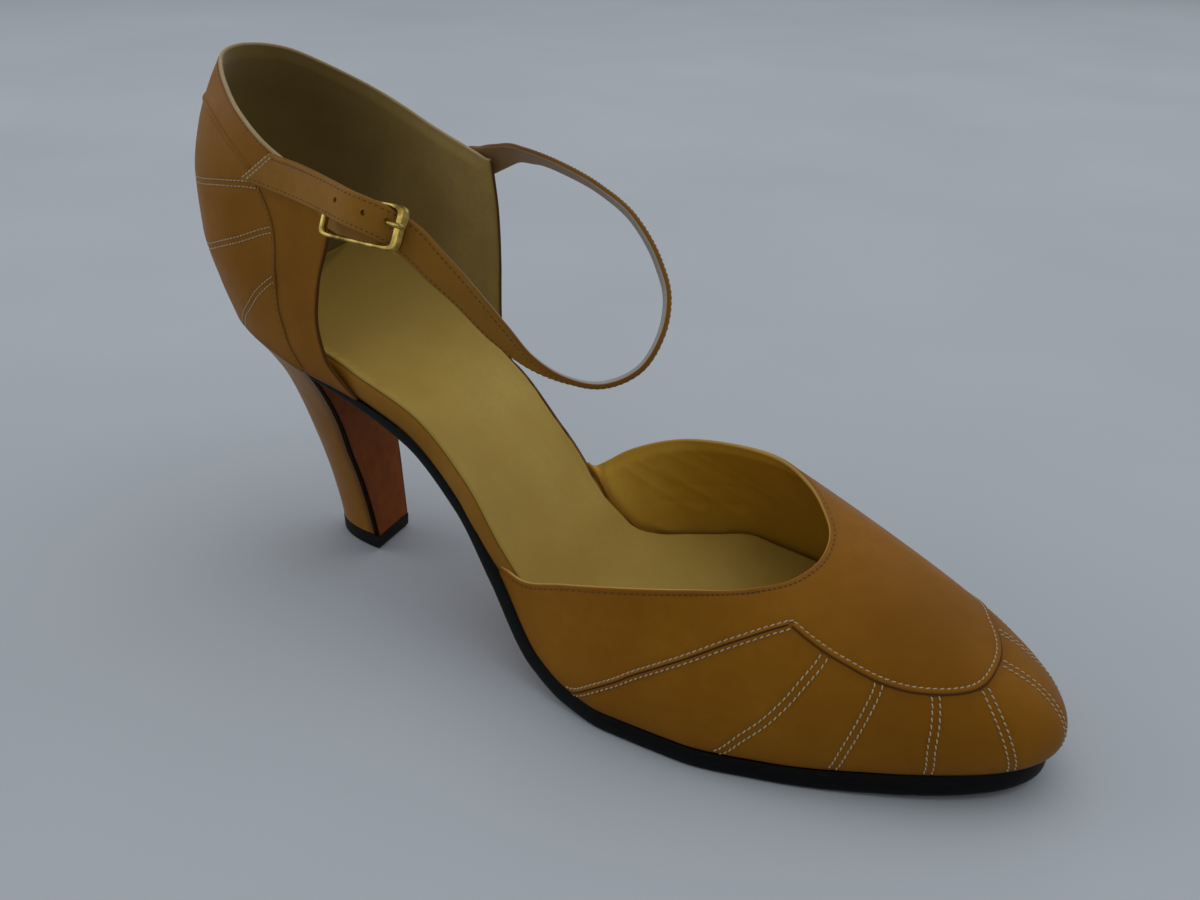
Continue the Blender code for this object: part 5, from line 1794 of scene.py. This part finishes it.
@dataclass(frozen=True)
class AnkleStrap:
    """Folded leather strap from the inner quarter corner, in a slack loop, to the buckle and past it."""

    finishes: Finishes
    width: float = 7.6
    tip_width: float = 8.3
    thick: float = 1.6
    tip_slant: float = 10.0
    tip_long: float = 24.0
    hole_radius: float = 0.62
    hole_x: tuple[float, ...] = (72.4, 80.3, 86.3)
    hole_rise: float = 0.4
    hole_deep: float = 6.0
    sharp_angle: float = 40.0
    grow_start: float = 12.0
    grow_long: float = 24.0
    groove: float = 0.08
    groove_at: float = 2.9
    groove_width: float = 0.4
    # Real edge ink and painted shade along both edges.
    edge_ink_and_shade: float = 0.4
    edge_share: float = 0.03
    # Painted shade on the inner face, strongest at the root.
    root_shade: float = 0.95
    root_long: float = 95.0
    under: float = -0.3
    row_share: float = 0.382
    tip_share: float = 0.42
    tip_rows: Pair = (0.8, 2.2)
    tip_places: int = 9
    row_ends: Pair = (1.5, 2.5)
    section: Pair = (0.3, 0.55)
    end_least: float = 0.08
    stitch_height: float = -0.1
    rings: int = 420
    stitch: Stitch = Stitch(pitch=1.3, length=0.8, radius=0.12, lift=0.02, sink=0.14, lean=0.0)
    tip_stitch: Stitch = Stitch(pitch=1.2, length=1.0, radius=0.2, lift=0.04, sink=0.14, lean=0.0)
    path: Table = Table("x y z wide_x wide_y wide_z", (
        (59, 27.6, 98.8, 0.25, 0, 0.97), (63, 27.7, 99.3, 0.22, -0.1, 0.97),
        (67, 27.3, 100.9, 0.32, -0.42, 0.82), (72.8, 25.9, 103, 0.46, -0.66, 0.56),
        (81.6, 22.5, 104.2, 0.52, -0.74, 0.42), (94.7, 19, 103.3, 0.54, -0.76, 0.36),
        (107.3, 15, 101.2, 0.54, -0.77, 0.32), (120.5, 9.5, 97, 0.54, -0.77, 0.32),
        (129.1, 5, 90.7, 0.54, -0.77, 0.32), (134.7, 0, 84.6, 0.53, -0.78, 0.32),
        (136.5, -5, 78.5, 0.52, -0.79, 0.32), (134.6, -10, 71.9, 0.5, -0.8, 0.32),
        (128.3, -15, 68.3, 0.48, -0.8, 0.34), (121.2, -19, 69.3, 0.44, -0.78, 0.44),
        (114.4, -22.2, 72.8, 0.4, -0.62, 0.66), (108.5, -25, 78.7, 0.46, -0.32, 0.82),
        (100.7, -28, 87.3, 0.5, -0.1, 0.86), (95.6, -29.6, 92, 0.38, 0.12, 0.91),
        (90.2, -30.6, 96.5, 0.26, 0.3, 0.92), (87, -31.6, 98.6, 0.22, 0.34, 0.91),
        (83.6, -33.2, 100.5, 0.2, 0.34, 0.92), (80, -34.2, 101.7, 0.18, 0.32, 0.93),
        (77, -34.4, 102.3, 0.16, 0.3, 0.94), (70, -33, 103.1, 0.12, 0.24, 0.96),
        (63, -31.3, 103.7, 0.12, 0.16, 0.97), (55, -29.5, 104.2, 0.12, 0.1, 0.98),
        (48, -28.6, 104.7, 0.12, 0.06, 0.98), (41.5, -28.2, 105.3, 0.12, 0.04, 0.98)))

    def left(self) -> Array:
        """Length left from each ring to the tip."""
        length = run_length(self.path.along(self.rings)[:, :3])
        return length[-1] - length

    def slant(self) -> Array:
        """How far each ring's edges run ahead or back to cut the tip on the slant."""
        return ease(1 - self.left() / self.tip_long) * self.tip_slant

    def widths(self) -> Array:
        """Width at each ring, growing over the free end."""
        grown = ease(1 - (self.left() - self.grow_start) / self.grow_long)
        return self.width + (self.tip_width - self.width) * grown

    def frames(self) -> tuple[Array, Array, Array, Array]:
        """Middle line, direction, width direction and outward direction at each ring."""
        path = self.path.along(self.rings)
        middle = path[:, :3]
        ahead = unit(np.gradient(middle, axis=0))
        wide = unit(path[:, 3:] - ahead * np.sum(path[:, 3:] * ahead, axis=1)[:, None])
        return middle, ahead, wide, -np.cross(ahead, wide)

    def build_band(self) -> Item:
        """Band: a rounded flat section carried along the path, with punched holes."""
        middle, ahead, wide, out = self.frames()
        turn = circle(36)
        side, high = (squared(wave(turn), power) for wave, power in zip((np.cos, np.sin), self.section))
        length, left = run_length(middle), self.left()
        round_end = quarter_round(np.minimum(left, length) / (self.thick / 2))
        round_end = round_end * (1 - self.end_least) + self.end_least
        across = side[None, :, None] / 2
        moves = wide * self.widths()[:, None] - ahead * self.slant()[:, None]
        groove = self.groove * bell(np.abs(side) * self.width / 2 - self.groove_at, self.groove_width)
        lift = (high * self.thick / 2 - groove * (high > 0))[None, :] * round_end[:, None]
        points = middle[:, None] + moves[:, None] * across + out[:, None] * lift[..., None]
        face_high = (high + np.roll(high, -1)) / 2
        zones = np.tile(np.where(face_high < self.under, 1, 0), self.rings - 1)
        # Tone: real ink and painted shade along both edges, and painted shade on the inner face towards the
        # root.
        edge = self.edge_ink_and_shade * bell(1 - np.abs(side), self.edge_share)
        root = self.root_shade * (1 - ease(length / self.root_long))[:, None] * (high < self.under)
        parts = MeshParts()
        parts.add(points, tube_faces(*lift.shape), (zones, np.zeros(2, dtype=int)), np.maximum(edge, root))
        made = self.finishes
        item = parts.build("ankle_strap_band", (made.strap, made.strap_back), recalc=True)
        self.punch(item)
        return item

    def punch(self, item: Item) -> None:
        """Cut the fastening holes through the band and keep the cut mesh."""
        middle, ahead, wide, out = self.frames()
        late = np.arange(self.rings) > self.rings * 3 // 4
        work = bmesh.new()
        for x in self.hole_x:
            ring = int(np.argmin(np.where(late, np.abs(middle[:, 0] - x), 1.0e9)))
            spot = in_frame(middle[ring] + wide[ring] * self.hole_rise)
            bmesh.ops.create_cone(work, cap_ends=True, segments=28, radius1=self.hole_radius * MM,
                                  radius2=self.hole_radius * MM, depth=self.hole_deep * MM,
                                  matrix=posed(spot, ahead[ring], wide[ring], -out[ring]))
        mesh = bpy.data.meshes.new("strap_punch")
        work.to_mesh(mesh)
        work.free()
        punch = linked("strap_punch", mesh)
        cut = item.modifiers.new("holes", "BOOLEAN")
        cut.operation = "DIFFERENCE"
        cut.object = punch
        bpy.context.view_layer.update()
        ready = item.evaluated_get(bpy.context.evaluated_depsgraph_get())
        cut_mesh = bpy.data.meshes.new_from_object(ready)
        item.modifiers.clear()
        item.data = cut_mesh
        item.data.set_sharp_from_angle(angle=math.radians(self.sharp_angle))
        bpy.data.objects.remove(punch)

    def build_stitches(self) -> Item:
        """Edge rows on the outer face."""
        parts = MeshParts()
        length = run_length(self.frames()[0])
        count = int(length[-1] / self.stitch.pitch)
        places = np.linspace(self.row_ends[0], length[-1] - self.row_ends[1], count)
        ring = np.interp(places, length, np.arange(self.rings))
        for across in (-self.row_share, self.row_share):
            self.sew_row(parts, ring, np.full_like(ring, across), self.stitch)
        return parts.build("ankle_strap_stitching", (self.finishes.tan_thread,))

    def build_tip_stitches(self) -> Item:
        """Pale double row across the slanted tip."""
        parts = MeshParts()
        length = run_length(self.frames()[0])
        across = np.linspace(-self.tip_share, self.tip_share, self.tip_places)
        for back in self.tip_rows:
            ring = np.interp(length[-1] - back, length, np.arange(self.rings))
            self.sew_row(parts, np.full_like(across, ring), across, self.tip_stitch)
        return parts.build("ankle_strap_tip_stitching", (self.finishes.cream_thread,))

    def sew_row(self, parts: MeshParts, ring: Array, across: Array, stitch: Stitch) -> None:
        """Sew a row on the outer face through places given by ring number and share across."""
        keys = np.arange(self.rings, dtype=float)
        middle, ahead, wide, out = (straight(keys, values, ring) for values in self.frames())
        width, slant = (np.interp(ring, keys, values)[:, None] for values in (self.widths(), self.slant()))
        points = middle + (wide * width - ahead * slant) * across[:, None]
        points = points + out * (self.thick / 2 + self.stitch_height)
        normals = straight(keys, self.frames()[3], (ring[1:] + ring[:-1]) / 2)
        stitch.through(parts, points, normals)

    def build(self) -> None:
        """Build and dress the strap."""
        place(self.build_band(), Slot.STRAP, "ankle_strap")
        place(self.build_stitches(), Slot.STRAP)
        place(self.build_tip_stitches(), Slot.STRAP)


def tube(path: Array, radius: Array, sides: int) -> tuple[Array, tuple[Array, ...]]:
    """A round rod along a path: rings square to it, closed by an end face at both ends.

    Args:
        path: Middle line.
        radius: Radius at each point.
        sides: Points round a ring.

    Returns:
        Ring points and faces.
    """
    ahead = unit(np.gradient(path, axis=0))
    up = unit(np.array((0.0, 0, 1)) - ahead * ahead[:, 2:3])
    across = np.cross(ahead, up)
    turn = circle(sides)
    ring = np.cos(turn)[None, :, None] * up[:, None] + np.sin(turn)[None, :, None] * across[:, None]
    return path[:, None] + ring * radius[:, None, None], tube_faces(len(path), sides, flip=True)


@dataclass(frozen=True)
class Buckle:
    """Gold frame buckle with a wide front bar, its prong and the leather chape that holds it."""

    finishes: Finishes
    left_at: Point = (65.1, -30.1, 98.5)
    right_at: Point = (89.9, -33.2, 99.8)
    lean: float = 0.42
    long: float = 26.6
    tall: float = 9.9
    deep: float = 1.5
    side_bar: float = 0.9
    left_bar: float = 1.6
    right_bar: float = 3.0
    corner: float = 9.0
    prong_radius: float = 0.6
    curl_radius: float = 1.25
    curl_thick: float = 0.42
    curl_tall: float = 0.62
    chape_thick: float = 0.9
    chape_tall: float = 6.0
    chape_section: Pair = (0.3, 0.6)
    frame_power: float = 0.6
    prong_taper: Pair = (1.06, 0.18)
    prong_point: float = 0.02
    prong: Table = Table("x y z", (
        (65.6, -30.6, 100.4), (72, -31, 100.6), (79.4, -31.2, 100.8), (82.6, -31.6, 100.9),
        (84.6, -32.2, 101), (86, -33.4, 101), (87.4, -34.4, 101.1), (89.2, -34.8, 101.1),
        (92, -34.9, 101.1)))
    chape: Table = Table("x y z", (
        (59, -26, 96.7), (63, -26.6, 96.6), (66, -27.9, 96.6), (70, -28.9, 96.8), (75, -29.7, 96.9),
        (79, -30.4, 97), (82.6, -31, 97.1), (83.2, -31.8, 97.1), (82, -32.3, 97.1)))

    def axes(self) -> tuple[Array, Array, Array, Array]:
        """Hinge bar middle and the frame's long, inward and upright directions."""
        left, right = np.array(self.left_at), np.array(self.right_at)
        along = unit(right - left)
        up = unit(np.array((0.0, self.lean, 1 - self.lean**2 / 2)))
        up = unit(up - along * np.dot(up, along))
        return left, along, np.cross(up, along), up

    def build_frame(self) -> Item:
        """Frame: a rounded section that spans from the outer rectangle to the window all the way round."""
        left, along, inward, up = self.axes()
        turn, spin = circle(240), circle(20)
        cos, sin = squared(np.cos(turn), 2.0 / self.corner), squared(np.sin(turn), 2.0 / self.corner)
        low = -self.left_bar / 2
        outer = np.stack([low + self.long / 2 + cos * self.long / 2, sin * self.tall / 2], axis=1)
        window = self.long - self.left_bar - self.right_bar
        inner_x = low + self.left_bar + window / 2 + cos * window / 2
        inner = np.stack([inner_x, sin * (self.tall / 2 - self.side_bar)], axis=1)
        wide, high = (squared(wave(spin), self.frame_power) for wave in (np.cos, np.sin))
        flat = ((outer + inner) / 2)[:, None] + ((outer - inner) / 2)[:, None] * wide[None, :, None]
        deep = (high * self.deep / 2)[None, :, None]
        points = left + along * flat[..., :1] + up * flat[..., 1:] - inward * deep
        closed = np.concatenate([points, points[:1]])
        parts = MeshParts()
        parts.add(closed, (grid_quads(*closed.shape[:2], wrap=True),))
        return parts.build("buckle_rim", (self.finishes.gold,), weld=True, recalc=True)

    def build_prong(self) -> Item:
        """Prong: a tapered rod through the strap, with a curl round the hinge bar."""
        path = self.prong.along(70)
        share = np.linspace(0, 1.0, len(path))
        point = np.sqrt(np.clip((1 - share) / self.prong_point, self.prong_point, 1.0))
        taper = (self.prong_taper[0] - self.prong_taper[1] * share) * point
        parts = MeshParts()
        parts.add(*tube(path, self.prong_radius * taper, 16))
        left, along, inward, up = self.axes()
        turn, spin = np.linspace(0, 2 * math.pi, 40), circle(14)
        out = along * np.cos(turn)[:, None] + inward * np.sin(turn)[:, None]
        ring = out[:, None] * (self.curl_radius + self.curl_thick * np.cos(spin))[None, :, None]
        middle = left + up * (self.prong.rows[0][2] - left[2])
        parts.add(middle + ring + up * (self.curl_tall * np.sin(spin))[None, :, None],
                  (grid_quads(len(turn), len(spin), wrap=True),))
        return parts.build("buckle_pin", (self.finishes.gold,), weld=True, recalc=True)

    def build_chape(self) -> Item:
        """Chape: a leather tab that runs off the quarter and turns round the hinge bar."""
        path = self.chape.along(60)
        ahead = unit(np.gradient(path, axis=0))
        up = np.array((0.0, 0, 1))
        out = unit(np.cross(up, ahead))
        turn = circle(24)
        side = squared(np.cos(turn), self.chape_section[0]) * self.chape_tall / 2
        high = squared(np.sin(turn), self.chape_section[1]) * self.chape_thick / 2
        points = path[:, None] + up * side[None, :, None] + out[:, None] * high[None, :, None]
        parts = MeshParts()
        parts.add(points, tube_faces(*points.shape[:2]))
        return parts.build("buckle_tab", (self.finishes.strap,), recalc=True)

    def build(self) -> None:
        """Build and dress the buckle."""
        place(self.build_frame(), Slot.BUCKLE, "buckle_frame")
        place(self.build_prong(), Slot.BUCKLE, "buckle_prong")
        place(self.build_chape(), Slot.STRAP, "buckle_chape")


# Stage

@dataclass(frozen=True)
class SoftLight:
    """One square soft light: place and side in metres, power in watts."""

    name: str
    spot: Point
    size: float
    power: float
    colour: Colour

    def build(self, aim: Point) -> None:
        """Hang the light so that it faces a point."""
        data = bpy.data.lights.new(self.name, "AREA")
        data.shape = "SQUARE"
        data.size = self.size
        data.energy = self.power
        data.color = self.colour
        back = unit(np.array(self.spot) - np.array(aim))
        right = unit(np.cross(np.array((0.0, 1.0, 0.02)), back))
        linked(self.name, data).matrix_world = posed(self.spot, right, np.cross(back, right), back)


@dataclass(frozen=True)
class Studio:
    """Floor, soft lights and the camera at the photograph's viewing angle."""

    finishes: Finishes
    azimuth: float = 33.4
    elevation: float = 25.3
    roll: float = 1.05
    distance: float = 311.0
    target: Point = (115.5, 4.1, 42.1)
    frame_width: float = 1200.0
    focal_pixels: float = 1307.0
    sensor: float = 36.0
    floor_half: float = 8.0
    floor_drop: float = 0.0002
    floor_steps: int = 9
    clip_start: float = 0.01
    world: Colour = (0.95, 0.98, 1.0)
    world_strength: float = 0.365
    light_aim: Point = (0.07, 0.0, 0.05)
    lights: tuple[SoftLight, ...] = (
        SoftLight("overhead", (0.25, 0.5, 1.2), 2.4, 9.8, (0.98, 0.99, 1.0)),
        SoftLight("left_window", (-1.3, -0.5, 0.6), 1.2, 4.4, (0.95, 0.98, 1.0)),
        SoftLight("front_fill", (0.5, -1.1, 0.9), 1.2, 0.1, (1.0, 0.98, 0.95)))

    def build_floor(self) -> None:
        """Large flat floor just under the sole."""
        steps = np.linspace(-self.floor_half, self.floor_half, self.floor_steps) / MM
        x, y = np.meshgrid(steps, steps)
        parts = MeshParts()
        parts.add(np.stack([x, y, np.full_like(x, -self.floor_drop / MM)], axis=-1),
                  (grid_quads(*x.shape),))
        parts.build("floor", (self.finishes.floor,))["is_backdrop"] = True

    def build_camera(self) -> None:
        """Camera on a sphere round the target, rolled about its own axis."""
        turn, lift, roll = (math.radians(value) for value in (self.azimuth, self.elevation, self.roll))
        level = np.array((math.sin(turn), -math.cos(turn), 0.0))
        back = level * math.cos(lift) + np.array((0.0, 0.0, math.sin(lift)))
        right = np.array((math.cos(turn), math.sin(turn), 0.0))
        up = np.cross(back, right)
        rolled_right = right * math.cos(roll) + up * math.sin(roll)
        rolled_up = up * math.cos(roll) - right * math.sin(roll)
        spot = in_frame(np.array(self.target) + back * self.distance)
        data = bpy.data.cameras.new("camera")
        data.sensor_fit = "HORIZONTAL"
        data.sensor_width = self.sensor
        data.lens = self.focal_pixels / self.frame_width * self.sensor
        data.clip_start = self.clip_start
        camera = linked("camera", data)
        camera.matrix_world = posed(spot, rolled_right, rolled_up, back)
        bpy.context.scene.camera = camera

    def build(self) -> None:
        """Build the stage."""
        self.build_floor()
        self.build_camera()
        for light in self.lights:
            light.build(self.light_aim)
        world = bpy.data.worlds.new("studio")
        world.use_nodes = True
        sky = world.node_tree.nodes["Background"]
        sky.inputs["Color"].default_value = (*self.world, 1.0)
        sky.inputs["Strength"].default_value = self.world_strength
        bpy.context.scene.world = world
        bpy.context.scene.view_settings.view_transform = "Standard"


def write_sizes() -> None:
    """Gather the solids' box and the visual model's box as plain lists."""
    pair = {"cad": CAD_BOX, "visual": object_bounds()}
    boxes = {name: [list(corner) for corner in box] for name, box in pair.items()}


def main() -> None:
    """Build every sub-assembly in order and report its pieces."""
    logging.basicConfig(level=logging.INFO, format="%(name)s %(message)s")
    form, finishes = ShoeForm(), Finishes()
    for kind in (Sole, Insole, CoveredHeel, Quarter, Vamp):
        kind(form, finishes).build()
    for kind in (AnkleStrap, Buckle, Studio):
        kind(finishes).build()
    write_sizes()


if __name__ == "__main__":
    main()
